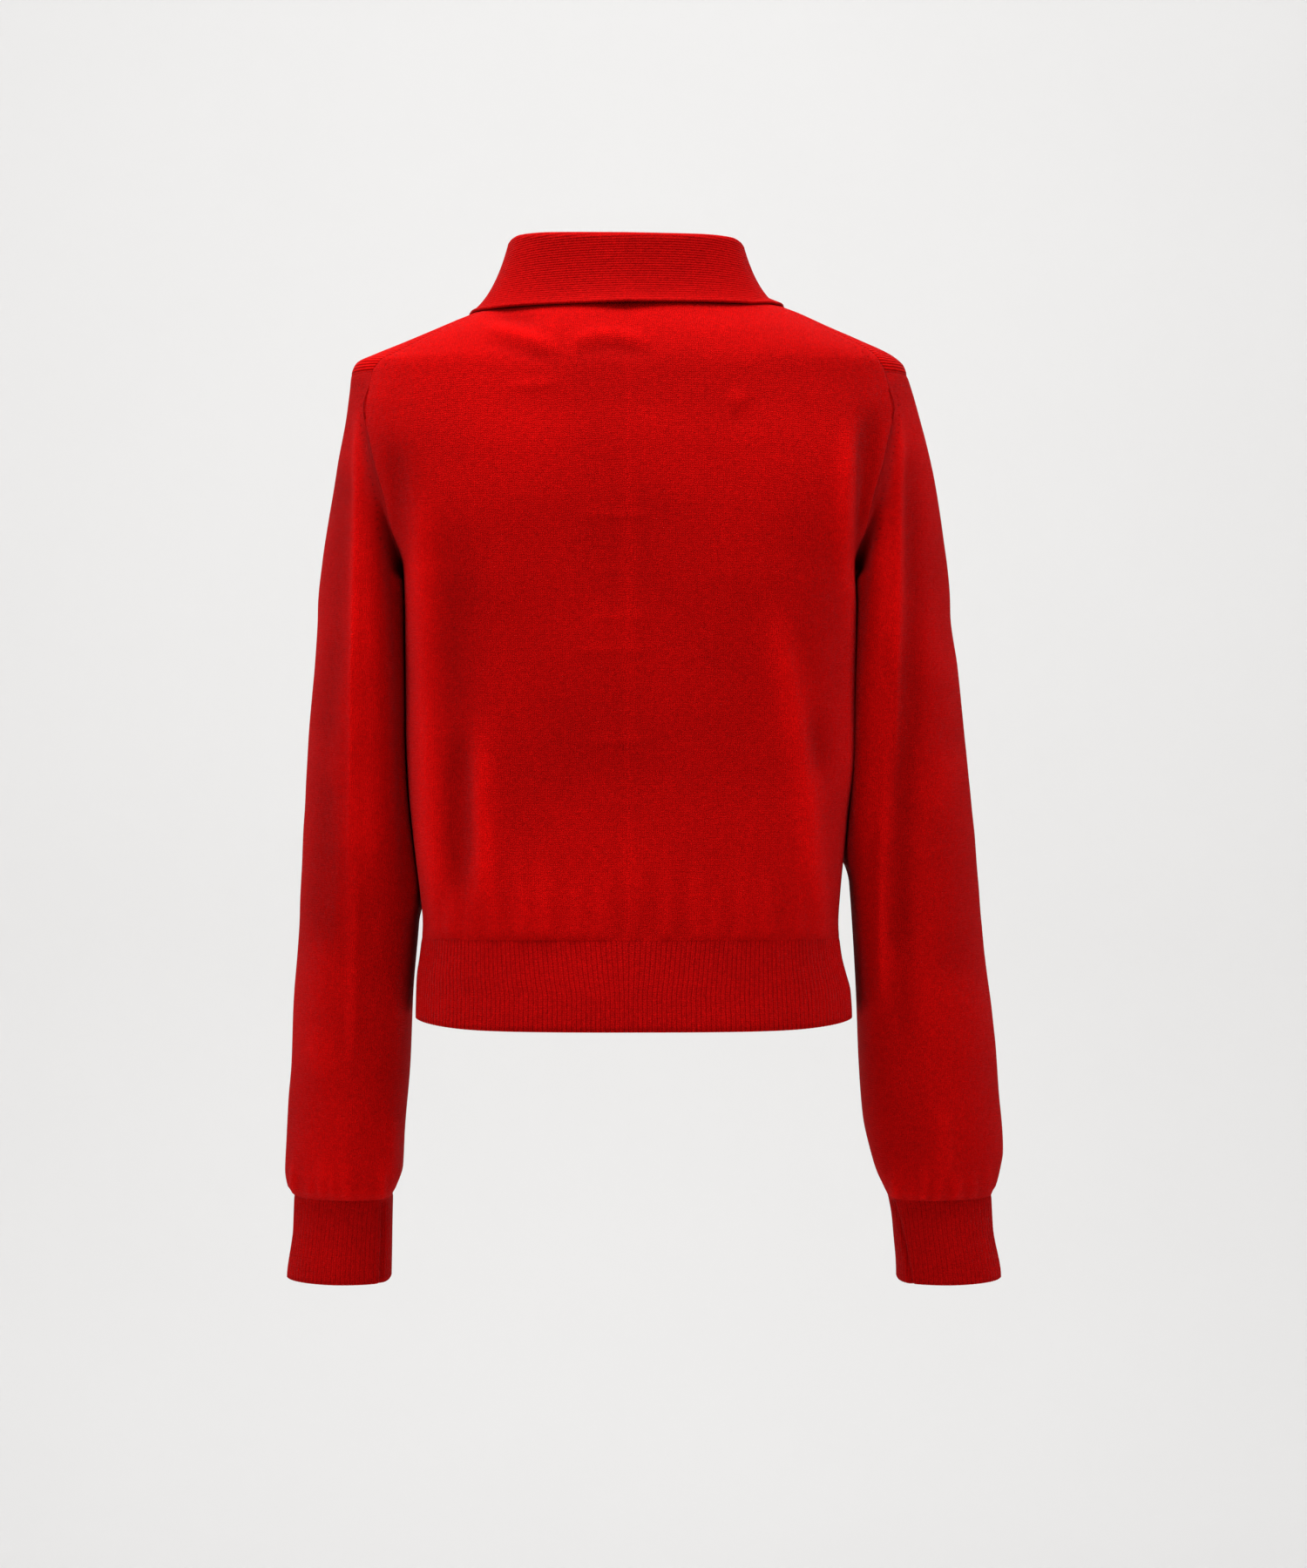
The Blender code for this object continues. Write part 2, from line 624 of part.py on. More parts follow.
def add_collar(cloth):
    body = surface_tree(cloth, ("back", "front", "placket_under"))
    profiles = []
    for side in (1, -1):
        bases = half_neckline(side)
        half = [
            collar_profile(side, base, share, body)
            for base, share in zip(bases, shares_along(bases))
        ]
        profiles += half if side > 0 else half[::-1][1:]
    cloth.patch("collar", [list(row) for row in zip(*profiles)])


def surface_tree(cloth, panels):
    faces = [face for panel in panels for face in cloth.panels[panel]]
    return BVHTree.FromPolygons(cloth.points, faces)


def towards_panel(cloth, faces, corner, normal):
    """The direction along the cloth from one of a panel's points into that panel."""
    centres = []
    for face in faces:
        centres.append(sum((cloth.points[c] for c in face), Vector()) / len(face))
    inwards = sum(centres, Vector()) / len(centres) - cloth.points[corner]
    inwards -= normal * inwards.dot(normal)
    return inwards.normalized()


def wall(cloth, normals, panel, thickness, lift=0.0):
    """One panel as a closed mesh in metres: its outer side, its inner side and its edges."""
    faces = cloth.panels[panel]
    neighbours = {}
    for other, other_faces in cloth.panels.items():
        if other != panel:
            for corner in {corner for face in other_faces for corner in face}:
                neighbours[corner] = neighbours.get(corner, 0) + 1
    around = {}
    for face in faces:
        for corner in face:
            around.setdefault(corner, []).append(face)
    mesh = bmesh.new()
    outer, inner = {}, {}
    for corner, near in around.items():
        point = cloth.points[corner] + normals[corner] * lift
        if corner in neighbours:
            upright = normals[corner].normalized()
            back = SEAM_GAP / 2.0 if neighbours[corner] == 1 else SEAM_GAP
            point += towards_panel(cloth, near, corner, upright) * back
        outer[corner] = mesh.verts.new(point * MM)
        inner[corner] = mesh.verts.new((point - normals[corner] * thickness) * MM)
    edges = {}
    for face in faces:
        mesh.faces.new([outer[c] for c in face])
        mesh.faces.new([inner[c] for c in reversed(face)])
        for a, b in zip(face, face[1:] + face[:1]):
            edges[(a, b)] = edges.get((a, b), 0) + 1
    for a, b in edges:
        if (b, a) not in edges:
            mesh.faces.new([outer[b], outer[a], inner[a], inner[b]])
    return mesh


def material(name):
    made = bpy.data.materials.get(name) or bpy.data.materials.new(name)
    made.use_nodes = True
    shader = made.node_tree.nodes["Principled BSDF"]
    shader.inputs["Base Color"].default_value = COLOURS[name]
    shader.inputs["Roughness"].default_value = 0.35 if name == "button" else 0.9
    shader.inputs["Metallic"].default_value = 0.0
    made.diffuse_color = COLOURS[name]
    return made


def add_object(name, mesh, material_name, collection):
    data = bpy.data.meshes.new(name)
    mesh.to_mesh(data)
    mesh.free()
    data.shade_smooth()
    data.set_sharp_from_angle(angle=math.radians(50.0))
    data.materials.append(material(material_name))
    made = bpy.data.objects.new(name, data)
    collection.objects.link(made)
    return made


def add_button(name, cloth, collection):
    """A round button on the placket's upper layer, square to the cloth there."""
    number = int(name.rsplit("_", 1)[1])
    z = BUTTON_CENTRES_Z[number - 1]
    tree = surface_tree(cloth, ("placket_under",))
    place, normal, _, _ = tree.find_nearest(body_point(-90.0, z))
    lift = 2.0 * SEAM_GAP + PANEL_WALL + BUTTON_THICKNESS / 2.0
    mesh = bmesh.new()
    bmesh.ops.create_cone(
        mesh,
        cap_ends=True,
        segments=BUTTON_SIDES,
        radius1=BUTTON_RADIUS * MM,
        radius2=BUTTON_RADIUS * MM,
        depth=BUTTON_THICKNESS * MM,
    )
    turn = normal.to_track_quat("Z", "Y").to_matrix().to_4x4()
    bmesh.ops.transform(
        mesh, matrix=Matrix.Translation((place + normal * lift) * MM) @ turn, verts=mesh.verts
    )
    made = add_object(name, mesh, "button", collection)
    bevel = made.modifiers.new("rounding", "BEVEL")
    bevel.width = BUTTON_ROUNDING * MM
    bevel.segments = 1
    bevel.limit_method = "ANGLE"


def build():
    for old in list(bpy.data.objects):
        bpy.data.objects.remove(old, do_unlink=True)
    collection = bpy.data.collections.new("knit_polo_shirt")
    bpy.context.scene.collection.children.link(collection)

    cloth = Cloth()
    add_body(cloth)
    add_sleeve(cloth, 1, "sleeve_left", "cuff_left")
    add_sleeve(cloth, -1, "sleeve_right", "cuff_right")
    add_collar(cloth)
    normals = cloth.normals()

    for name in cloth.panels:
        ribbed = "rib" in name or "cuff" in name or name == "collar"
        thickness = COLLAR_WALL if name == "collar" else RIB_WALL if ribbed else PANEL_WALL
        mesh = wall(cloth, normals, name, thickness)
        add_object(name, mesh, "rib" if ribbed else "cloth", collection)
    over = wall(cloth, normals, "placket_under", PANEL_WALL, lift=SEAM_GAP + PANEL_WALL)
    add_object("placket_over", over, "cloth", collection)
    for number in range(1, len(BUTTON_CENTRES_Z) + 1):
        add_button(f"button_{number}", cloth, collection)


build()
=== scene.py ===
"""The looks of a long-sleeved knit polo shirt: its panels as knitted shells on the CAD's form.

Sizes are in millimetres, in the CAD's frame, and become metres as each mesh is made. The
surface is worked out as in the part: points by angle and level, which neighbouring pieces
share along their seams. Creases, seams and ribs then move the points of each piece.
"""

import math
import random

import bmesh
import bpy
import numpy as np
from mathutils import Matrix, Vector, noise
from mathutils.bvhtree import BVHTree


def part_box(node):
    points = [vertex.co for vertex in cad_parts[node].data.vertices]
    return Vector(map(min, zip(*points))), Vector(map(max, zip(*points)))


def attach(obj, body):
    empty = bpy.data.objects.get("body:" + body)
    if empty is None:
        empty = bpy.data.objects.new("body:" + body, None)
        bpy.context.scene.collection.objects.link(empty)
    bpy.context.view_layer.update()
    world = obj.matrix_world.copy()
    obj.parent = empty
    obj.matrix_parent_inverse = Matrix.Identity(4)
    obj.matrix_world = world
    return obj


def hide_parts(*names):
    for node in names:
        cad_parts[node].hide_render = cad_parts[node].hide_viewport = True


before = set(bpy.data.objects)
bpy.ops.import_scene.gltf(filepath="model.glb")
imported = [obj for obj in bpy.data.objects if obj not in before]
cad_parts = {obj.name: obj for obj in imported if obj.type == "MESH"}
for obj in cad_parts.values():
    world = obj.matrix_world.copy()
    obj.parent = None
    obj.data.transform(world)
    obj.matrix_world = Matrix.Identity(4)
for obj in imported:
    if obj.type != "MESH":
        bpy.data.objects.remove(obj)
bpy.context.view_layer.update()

MM = 0.001

# The camera looks at the back, level
CAMERA = (-16.5, 3100.0, -341.0)
FRAME_HEIGHT = 1058.8  # how much the frame holds from top to bottom at the origin's distance

# Cloth
PANEL_WALL = 1.9
RIB_WALL = 2.2
COLLAR_WALL = 2.0
PLACKET_WALL = 1.8
SEAM_PULL = 0.05  # how far each edge is drawn back from its seam
SEAM_DEPTH = 0.4
SEAM_WIDTH = 1.3
LINKED = -1.0  # knitted on, without a seam
SEWN = 0.0
FASHIONED = 1.0  # sewn, with a row of fashioning marks beside it
FAR_AWAY = 99.0  # from any seam
AT_SEAM = 0.3  # rim points as near as this lie in the seam
LINKED_DEPTH = 0.4  # the share of a seam's depth that a linked one has
EDGE_ROUNDING = 0.3  # how far an edge's middle stands out, as a share of the wall
EASE_WIDTH = 12.0  # creases die away this near to a seam
LINKED_EASE_WIDTH = 3.5

# Knit
WALE = 2.1
COURSE = 1.5
RIB_PITCH = 3.2
RIB_HEIGHT = 0.5
CUFF_RIB_HEIGHT = 0.3
RIB_START = 5.0  # how far below its top a rib takes to reach its full height
RIB_START_SHARE = 0.3  # its height at the top
FURROW_SHARPNESS = 2.5
COLLAR_RIDGE = 1.7
STRAP_RIDGE = 2.35
MARK_AWAY = 8.6
MARK_PITCH = 5.5

# Levels, from the origin in the middle of the neck
HEM_Z = -503.0
RIB_TOP_Z = -444.0
HEM_SIDE_LIFT = 5.0  # how much higher the hem is at its sides
UNDERARM_Z = -197.0
SHOULDER_Z = -66.0
SIDE_NECK_Z = -4.0
BACK_NECK_Z = -13.0
FRONT_NECK_Z = -75.0
CUFF_TOP_Z = -621.0
CUFF_BOTTOM_Z = -677.0

NECK_HALF_WIDTH = 72.0
FRONT_NECK_ROUNDNESS = 1.7
STRAP_NECK_ANGLE = 20.0
PLACKET_HALF_WIDTH = 14.0

# How finely the pieces are divided
LOWER_ROWS = 108
STEPS_PER_ROW = 8  # of the upper body's thirteen levels
BACK_HALF_COLUMNS = 84
FRONT_HALF_COLUMNS = 78
MIDDLE_COLUMNS = 10
STRAP_COLUMNS = 56
RIB_ROWS = 16
STEPS_PER_RIB = 6
CAP_ROWS = 52
SLEEVE_ROWS = 132
CUFF_ROWS = 20
COLLAR_HALF_COLUMNS = 150
COLLAR_STAND_ROWS = 14
COLLAR_FOLD_ROWS = 8
COLLAR_FALL_ROWS = 34
PLACKET_ROWS = 90
PLACKET_COLUMNS = 16

# The body at each level: half widths to the wearer's left and right, depths behind and in
# front of the origin, and how square its corners are (2 is an ellipse).
BODY_COLUMNS = ("z", "left", "right", "back", "front", "square")
BODY = (
    (-503.0, 144.0, 150.5, 98.0, 104.0, 2.5),
    (-482.0, 143.5, 149.4, 96.0, 102.0, 2.5),
    (-470.0, 142.8, 146.5, 94.0, 101.0, 2.6),
    (-458.0, 141.0, 143.5, 92.0, 100.0, 2.7),
    (-444.0, 139.4, 141.6, 90.5, 100.0, 2.8),
    (-434.0, 138.8, 141.0, 90.5, 103.0, 2.9),
    (-412.0, 140.6, 142.4, 91.0, 108.0, 3.0),
    (-388.0, 143.5, 144.7, 91.5, 111.0, 3.0),
    (-340.0, 148.5, 149.0, 92.0, 115.0, 2.9),
    (-300.0, 150.0, 150.0, 94.0, 118.0, 2.9),
    (-230.0, 150.0, 150.0, 98.0, 123.0, 3.3),
    (-197.0, 151.0, 151.0, 100.0, 119.0, 3.4),
    (-160.0, 170.0, 170.0, 100.5, 107.0, 3.1),
    (-120.0, 186.0, 186.0, 98.0, 87.0, 2.7),
    (-90.0, 191.5, 191.5, 93.0, 74.0, 2.4),
    (-66.0, 187.5, 187.5, 88.0, 66.0, 2.3),
    (-58.8, 184.0, 185.5, 85.5, 64.0, 2.3),
    (-53.0, 172.0, 179.4, 82.5, 62.0, 2.3),
    (-41.2, 145.2, 153.6, 74.5, 57.0, 2.3),
    (-29.4, 118.0, 126.8, 63.5, 53.0, 2.2),
    (-24.5, 106.0, 115.5, 58.5, 51.0, 2.2),
    (-15.0, 87.0, 91.0, 52.5, 47.0, 2.1),
    (-4.0, 72.0, 72.0, 48.5, 44.0, 2.1),
)

# The armhole, as degrees round the body from its side: behind, and in front.
SEAM_COLUMNS = ("z", "behind", "before")
ARMHOLE = (
    (-197.0, 0.0, 0.0),
    (-180.0, 12.5, 14.0),
    (-160.0, 23.5, 26.0),
    (-140.0, 26.5, 30.0),
    (-118.0, 26.8, 31.0),
    (-92.0, 24.8, 30.0),
    (-66.0, 26.0, 27.0),
)

# The shoulder strap: its seam on the back and the line where it leaves the front.
STRAP = (
    (-66.0, 26.0, 27.0),
    (-59.0, 27.5, 28.0),
    (-51.0, 27.0, 30.0),
    (-42.0, 24.0, 33.0),
    (-32.0, 20.0, 37.0),
    (-21.0, 16.5, 41.0),
    (-5.0, 15.0, 0.0),
)

# The sleeves, which hang a little forward: the outer and inner sides, the crease that runs
# down behind, the middle, the depths behind and in front of it, and how blunt the section is
# outwards and inwards of the crease (1 is a knife edge and 2 an ellipse).
SLEEVE_COLUMNS = ("z", "outer", "inner", "crease", "middle_y", "back", "front", "blunt", "inner_blunt")
LEFT_SLEEVE = (
    (-225.0, 209.7, 153.0, 183.6, -10.0, 62.0, 62.0, 1.25, 3.4),
    (-262.0, 213.0, 151.6, 184.0, -13.0, 61.0, 61.0, 1.28, 3.8),
    (-300.0, 216.7, 151.4, 184.2, -16.0, 60.0, 60.0, 1.30, 4.0),
    (-330.0, 218.8, 150.3, 184.9, -18.0, 58.0, 59.0, 1.35, 4.0),
    (-360.0, 220.5, 148.2, 185.6, -20.0, 56.0, 58.0, 1.40, 4.0),
    (-400.0, 223.0, 144.1, 186.9, -22.0, 53.0, 56.0, 1.50, 3.6),
    (-418.0, 224.0, 142.6, 187.6, -23.0, 52.0, 55.0, 1.55, 3.4),
    (-436.0, 224.9, 143.6, 188.2, -24.0, 51.0, 54.0, 1.60, 3.2),
    (-483.0, 227.4, 147.6, 188.5, -27.0, 50.0, 50.0, 1.60, 2.9),
    (-531.0, 230.3, 149.6, 187.8, -29.5, 48.0, 48.0, 1.60, 2.5),
    (-578.0, 234.3, 153.5, 187.6, -32.0, 45.0, 45.0, 1.60, 1.90),
    (-603.0, 235.0, 154.8, 187.3, -33.0, 43.0, 43.0, 1.60, 1.80),
    (-615.0, 233.2, 158.9, 187.1, -33.5, 39.0, 40.0, 1.75, 1.85),
    (-621.0, 228.6, 161.9, 189.9, -34.0, 35.0, 36.0, 1.90, 1.90),
    (-643.0, 229.5, 162.2, 192.0, -35.0, 35.0, 35.0, 1.90, 1.90),
    (-677.0, 233.7, 162.9, 194.0, -36.0, 36.0, 36.0, 1.90, 1.90),
)
RIGHT_SLEEVE = (
    (-225.0, 217.3, 153.0, 178.2, -10.0, 62.0, 62.0, 1.25, 3.4),
    (-262.0, 222.2, 151.6, 178.0, -13.0, 61.0, 61.0, 1.30, 3.8),
    (-300.0, 227.1, 151.4, 177.7, -16.0, 60.0, 60.0, 1.35, 4.0),
    (-330.0, 230.2, 150.7, 177.4, -18.0, 58.0, 59.0, 1.50, 4.0),
    (-360.0, 233.4, 148.9, 177.1, -20.0, 56.0, 58.0, 1.60, 3.8),
    (-386.0, 236.0, 147.6, 178.4, -21.0, 55.0, 57.0, 1.70, 3.6),
    (-400.0, 237.3, 149.2, 179.3, -22.0, 54.0, 56.0, 1.75, 3.4),
    (-436.0, 239.9, 152.0, 184.5, -24.0, 52.0, 54.0, 1.80, 3.2),
    (-483.0, 245.0, 154.7, 190.7, -27.0, 50.0, 50.0, 1.80, 2.8),
    (-531.0, 251.0, 156.6, 196.9, -29.5, 48.0, 48.0, 1.80, 2.4),
    (-567.0, 253.9, 159.4, 202.1, -31.0, 46.0, 46.0, 1.75, 1.90),
    (-591.0, 254.9, 164.5, 205.4, -32.5, 43.0, 43.0, 1.70, 1.80),
    (-603.0, 253.1, 168.1, 205.4, -33.0, 42.0, 42.0, 1.70, 1.80),
    (-615.0, 250.1, 173.5, 207.7, -33.5, 39.0, 39.0, 1.80, 1.85),
    (-621.0, 247.0, 176.2, 208.9, -34.0, 35.0, 36.0, 1.90, 1.90),
    (-643.0, 248.4, 180.2, 211.0, -35.0, 35.0, 35.0, 1.90, 1.90),
    (-677.0, 253.7, 182.7, 215.0, -36.0, 36.0, 36.0, 1.90, 1.90),
)
INNER_FULLNESS = 0.52  # how soon the inner side reaches its depth: 1 is that of an ellipse
SLEEVE_TILT = 0.06
CAP_TOP_Z = -225.0  # the sleeve's first level ring
CAP_REACH = {1: 2.0, -1: 25.0}
UNDERARM_REACH = 4.0
CAP_STEEPNESS = 0.4
HEAD_EVENING = 160  # rounds of evening out over the sleeve's head
HEAD_BELOW_CAP = 20  # how many rows below the cap are evened out too
TOUCH_END_Z = {1: -436.0, -1: -408.0}  # down to where each sleeve lies against the body
TOUCH_GAP = 1.2
TOUCH_FROM = {1: 139.0, -1: 130.0}  # the turn, behind, from which each sleeve leans on the body
TOUCH_UNTIL = -118.0  # the turn, in front, up to which it does
TOUCH_EASE = {"behind": 18.0, "before": 34.0, "top": 10.0, "end": 34.0}  # degrees, then lengths
HEAD_EASE_ROWS = 26.0
HEAD_EASE_TURN = 70.0
CUFF_FOLD_AWAY = {1: (4.0, 4.6), -1: (1.5, 7.5)}  # a fold's way from the inner edge, above and below
CUFF_FOLD_WIDTH = 1.3
CUFF_FOLD_DEPTH = 1.6

# The collar, from the front edge round to the middle of the back: the share of the half
# neckline, the line it folds over on, its free edge, and how far it sags between the two.
COLLAR_COLUMNS = ("share", "fold_x", "fold_y", "fold_z", "edge_x", "edge_y", "edge_z", "sag")
COLLAR = (
    (0.00, 5.0, -73.0, -67.0, 50.0, -101.0, -137.0, 0.0),
    (0.14, 26.0, -72.5, -58.0, 76.0, -92.0, -116.0, 1.0),
    (0.30, 51.0, -60.0, -32.0, 99.0, -72.0, -83.0, 4.0),
    (0.45, 70.0, -35.0, 2.0, 107.3, -42.0, -48.5, 9.0),
    (0.58, 76.5, -4.0, 21.5, 105.0, -6.0, -23.0, 12.0),
    (0.70, 70.0, 22.0, 24.5, 95.0, 26.0, -22.5, 11.0),
    (0.82, 52.0, 38.0, 24.5, 68.0, 48.0, -22.0, 12.5),
    (1.00, 0.0, 46.0, 24.2, 0.0, 61.0, -21.5, 13.0),
)
COLLAR_SHIFT = 2.0
COLLAR_TILT = {"fold": 0.012, "edge": -0.015}
COLLAR_FOLD_RADIUS = 1.9
COLLAR_SAG_INWARDS = 0.3
COLLAR_OFF_BODY = 0.4
COLLAR_FRONT_GAP = 1.2
COLLAR_FRONT_RISE = 1.0


class Table:
    """Rows of numbers against their first column, joined by smooth curves without overshoot."""

    def __init__(self, columns, rows):
        values = np.array(sorted(rows))
        self.keys = values[:, 0]
        self.values = {name: values[:, i] for i, name in enumerate(columns)}
        self.slopes = {name: self.slope(v) for name, v in self.values.items()}

    def slope(self, values):
        rises = np.diff(values) / np.diff(self.keys)
        slopes = np.zeros(len(values))
        for i, (before, after) in enumerate(zip(rises, rises[1:]), 1):
            if before * after > 0.0:
                slopes[i] = 2.0 * before * after / (before + after)
        return slopes

    def at(self, name, key):
        key = np.clip(key, self.keys[0], self.keys[-1])
        i = np.clip(np.searchsorted(self.keys, key, "right") - 1, 0, len(self.keys) - 2)
        step = self.keys[i + 1] - self.keys[i]
        values, slopes = self.values[name], self.slopes[name]
        s = (key - self.keys[i]) / step
        return hermite(values[i], slopes[i] * step, values[i + 1], slopes[i + 1] * step, s)


def hermite(start, leaving, end, arriving, s):
    """A smooth curve from start to end, with the given slopes at its ends."""
    return (
        (1.0 + 2.0 * s) * (1.0 - s) ** 2 * start
        + s * (1.0 - s) ** 2 * leaving
        + s * s * (3.0 - 2.0 * s) * end
        + s * s * (s - 1.0) * arriving
    )


def mix(low, high, share):
    return low + (high - low) * share


def signed_power(value, exponent):
    return np.sign(value) * np.abs(value) ** exponent


def smooth(value):
    """0 below nought, 1 above one, and a smooth rise between."""
    value = np.clip(value, 0.0, 1.0)
    return value * value * (3.0 - 2.0 * value)


def unit(vectors):
    return vectors / np.maximum(np.linalg.norm(vectors, axis=-1, keepdims=True), 1e-9)


def pairs(first, second):
    return np.stack(np.broadcast_arrays(first, second), axis=-1)


def run(points, axis=0):
    """How far along its row or column each point lies, from nought at the first."""
    steps = np.linalg.norm(np.diff(points, axis=axis), axis=-1)
    return np.insert(np.cumsum(steps, axis=axis), 0, 0.0, axis=axis)


def evenly(values, points, count):
    """The values at points that lie evenly along a line."""
    lengths = run(points)
    return np.interp(np.linspace(0.0, lengths[-1], count + 1), lengths, values)


def add_object(name, data):
    made = bpy.data.objects.new(name, data)
    bpy.context.scene.collection.objects.link(made)
    return made


BODY_TABLE = Table(BODY_COLUMNS, BODY)
ARMHOLE_TABLE = Table(SEAM_COLUMNS, ARMHOLE)
STRAP_TABLE = Table(SEAM_COLUMNS, STRAP)
COLLAR_TABLE = Table(COLLAR_COLUMNS, COLLAR)
SLEEVE_TABLES = {1: Table(SLEEVE_COLUMNS, LEFT_SLEEVE), -1: Table(SLEEVE_COLUMNS, RIGHT_SLEEVE)}


# ---- the body's form


def body_point(angle, z):
    """Points of the body's outer side: 0 degrees is the left side and 90 the back."""
    angle, z = np.broadcast_arrays(np.asarray(angle, float), np.asarray(z, float))
    turn = np.radians(angle)
    square = BODY_TABLE.at("square", z)
    half = np.where(np.cos(turn) >= 0.0, half_width(z, 1), half_width(z, -1))
    x = half * signed_power(np.cos(turn), 2.0 / square)
    y = half_depth(z, np.sin(turn)) * signed_power(np.sin(turn), 2.0 / square)
    return np.stack([x, y, z], axis=-1)


def half_width(z, side):
    return BODY_TABLE.at("left" if side > 0 else "right", z)


def half_depth(z, y):
    return np.where(y >= 0.0, BODY_TABLE.at("back", z), BODY_TABLE.at("front", z))


def angle_at(x, z, side):
    """The angle, from the side seam, at which the body is x from its middle."""
    share = np.minimum(1.0, x / half_width(z, side))
    return np.degrees(np.arccos(share ** (BODY_TABLE.at("square", z) / 2.0)))


def turned(angle, side, back):
    """An angle from the side seam as one round the body, on either side, behind or in front."""
    angle = angle if back else -angle
    return angle if side > 0 else 180.0 - angle


def placed(grid, side, back=True):
    return body_point(turned(grid[..., 0], side, back), grid[..., 1])


def even_shares(start, z, side, back, count):
    """Shares of the turn from start to the side seam at which points lie evenly."""
    shares = np.linspace(0.0, 1.0, 2001)
    return evenly(shares, body_point(turned(mix(start, 0.0, shares), side, back), z), count)


def coons(bottom, top, inner, outer, shares):
    """A patch of (angle, z) between four borders, whose columns lie at the given shares."""
    v = np.linspace(0.0, 1.0, len(inner))[:, None, None]
    u = shares[None, :, None]
    across = mix(bottom[None], top[None], v)
    up = mix(inner[:, None], outer[:, None], u)
    corners = mix(mix(bottom[0], bottom[-1], u), mix(top[0], top[-1], u), v)
    return across + up - corners


def front_neckline(turn):
    """The front neckline's x and z, from the side of the neck (0) to the middle (90)."""
    turn = np.radians(turn)
    drop = (FRONT_NECK_Z - SIDE_NECK_Z) * np.sin(turn) ** FRONT_NECK_ROUNDNESS
    return NECK_HALF_WIDTH * np.cos(turn), SIDE_NECK_Z + drop


ARMHOLE_LEVELS = [row[0] for row in ARMHOLE]
SHOULDER_LEVELS = [row[0] for row in STRAP]
ARMHOLE_STEPS = STEPS_PER_ROW * (len(ARMHOLE_LEVELS) - 1)
UPPER_STEPS = ARMHOLE_STEPS + STEPS_PER_ROW * (len(SHOULDER_LEVELS) - 1)


def outer_border(levels, column, last_angle=None):
    """The armhole's and strap's line as (angle, z), at every fine row."""
    rows = np.linspace(0.0, len(levels) - 1.0, UPPER_STEPS + 1)
    z = np.interp(rows, np.arange(len(levels)), levels)
    angle = np.where(z <= SHOULDER_Z, ARMHOLE_TABLE.at(column, z), STRAP_TABLE.at(column, z))
    if last_angle is not None:
        # The last stretch runs straight from the table's last line to the neckline's end.
        start = rows >= len(levels) - 2.0
        share = rows[start] - (len(levels) - 2.0)
        angle[start] = mix(STRAP_TABLE.at(column, levels[-2]), last_angle, share)
    return pairs(angle, z)


def back_half(side):
    """Half the back above the underarm, as (angle from the side seam, z)."""
    outer = outer_border(ARMHOLE_LEVELS + SHOULDER_LEVELS[1:], "behind")
    inner = pairs(90.0, np.linspace(UNDERARM_Z, BACK_NECK_Z, UPPER_STEPS + 1))
    shares = even_shares(90.0, UNDERARM_Z, side, True, BACK_HALF_COLUMNS)
    bottom = pairs(mix(90.0, 0.0, shares), UNDERARM_Z)
    rise = outer[-1, 1] - BACK_NECK_Z
    top = pairs(mix(90.0, outer[-1, 0], shares), BACK_NECK_Z + rise * shares**2)
    return coons(bottom, top, inner, outer, shares)


def front_half(side):
    """Half the front above the underarm, from the placket's side to the armhole and strap."""
    neck_x, neck_z = front_neckline(STRAP_NECK_ANGLE)
    levels = ARMHOLE_LEVELS + SHOULDER_LEVELS[1:-1] + [neck_z]
    outer = outer_border(levels, "before", angle_at(neck_x, neck_z, side))
    placket_turn = math.degrees(math.acos(PLACKET_HALF_WIDTH / NECK_HALF_WIDTH))
    start = angle_at(PLACKET_HALF_WIDTH, UNDERARM_Z, side)
    shares = even_shares(start, UNDERARM_Z, side, False, FRONT_HALF_COLUMNS)
    x, neck = front_neckline(mix(placket_turn, STRAP_NECK_ANGLE, shares))
    z = np.linspace(UNDERARM_Z, neck[0], UPPER_STEPS + 1)
    inner = pairs(angle_at(PLACKET_HALF_WIDTH, z, side), z)
    bottom = pairs(mix(start, 0.0, shares), UNDERARM_Z)
    return coons(bottom, pairs(angle_at(x, neck, side), neck), inner, outer, shares)


def strap_grid(side):
    """The strap over one shoulder, as (angle from the side seam, behind positive, z)."""
    before = front_half(side)[ARMHOLE_STEPS:, -1]
    behind = back_half(side)[ARMHOLE_STEPS:, -1]
    s = np.linspace(0.0, 1.0, STRAP_COLUMNS + 1)[None, :]
    return pairs(mix(-before[:, :1], behind[:, :1], s), mix(before[:, 1:], behind[:, 1:], s))


def lower_half(side, back, count):
    """Half the body from the rib to the underarm, as (angle from the side seam, z)."""
    z = np.linspace(RIB_TOP_Z, UNDERARM_Z, LOWER_ROWS + 1)
    start = np.full_like(z, 90.0) if back else angle_at(PLACKET_HALF_WIDTH, z, side)
    shares = even_shares(start[-1], UNDERARM_Z, side, back, count)[None, :]
    return pairs(mix(start[:, None], 0.0, shares), z[:, None])


# ---- lengths along the body


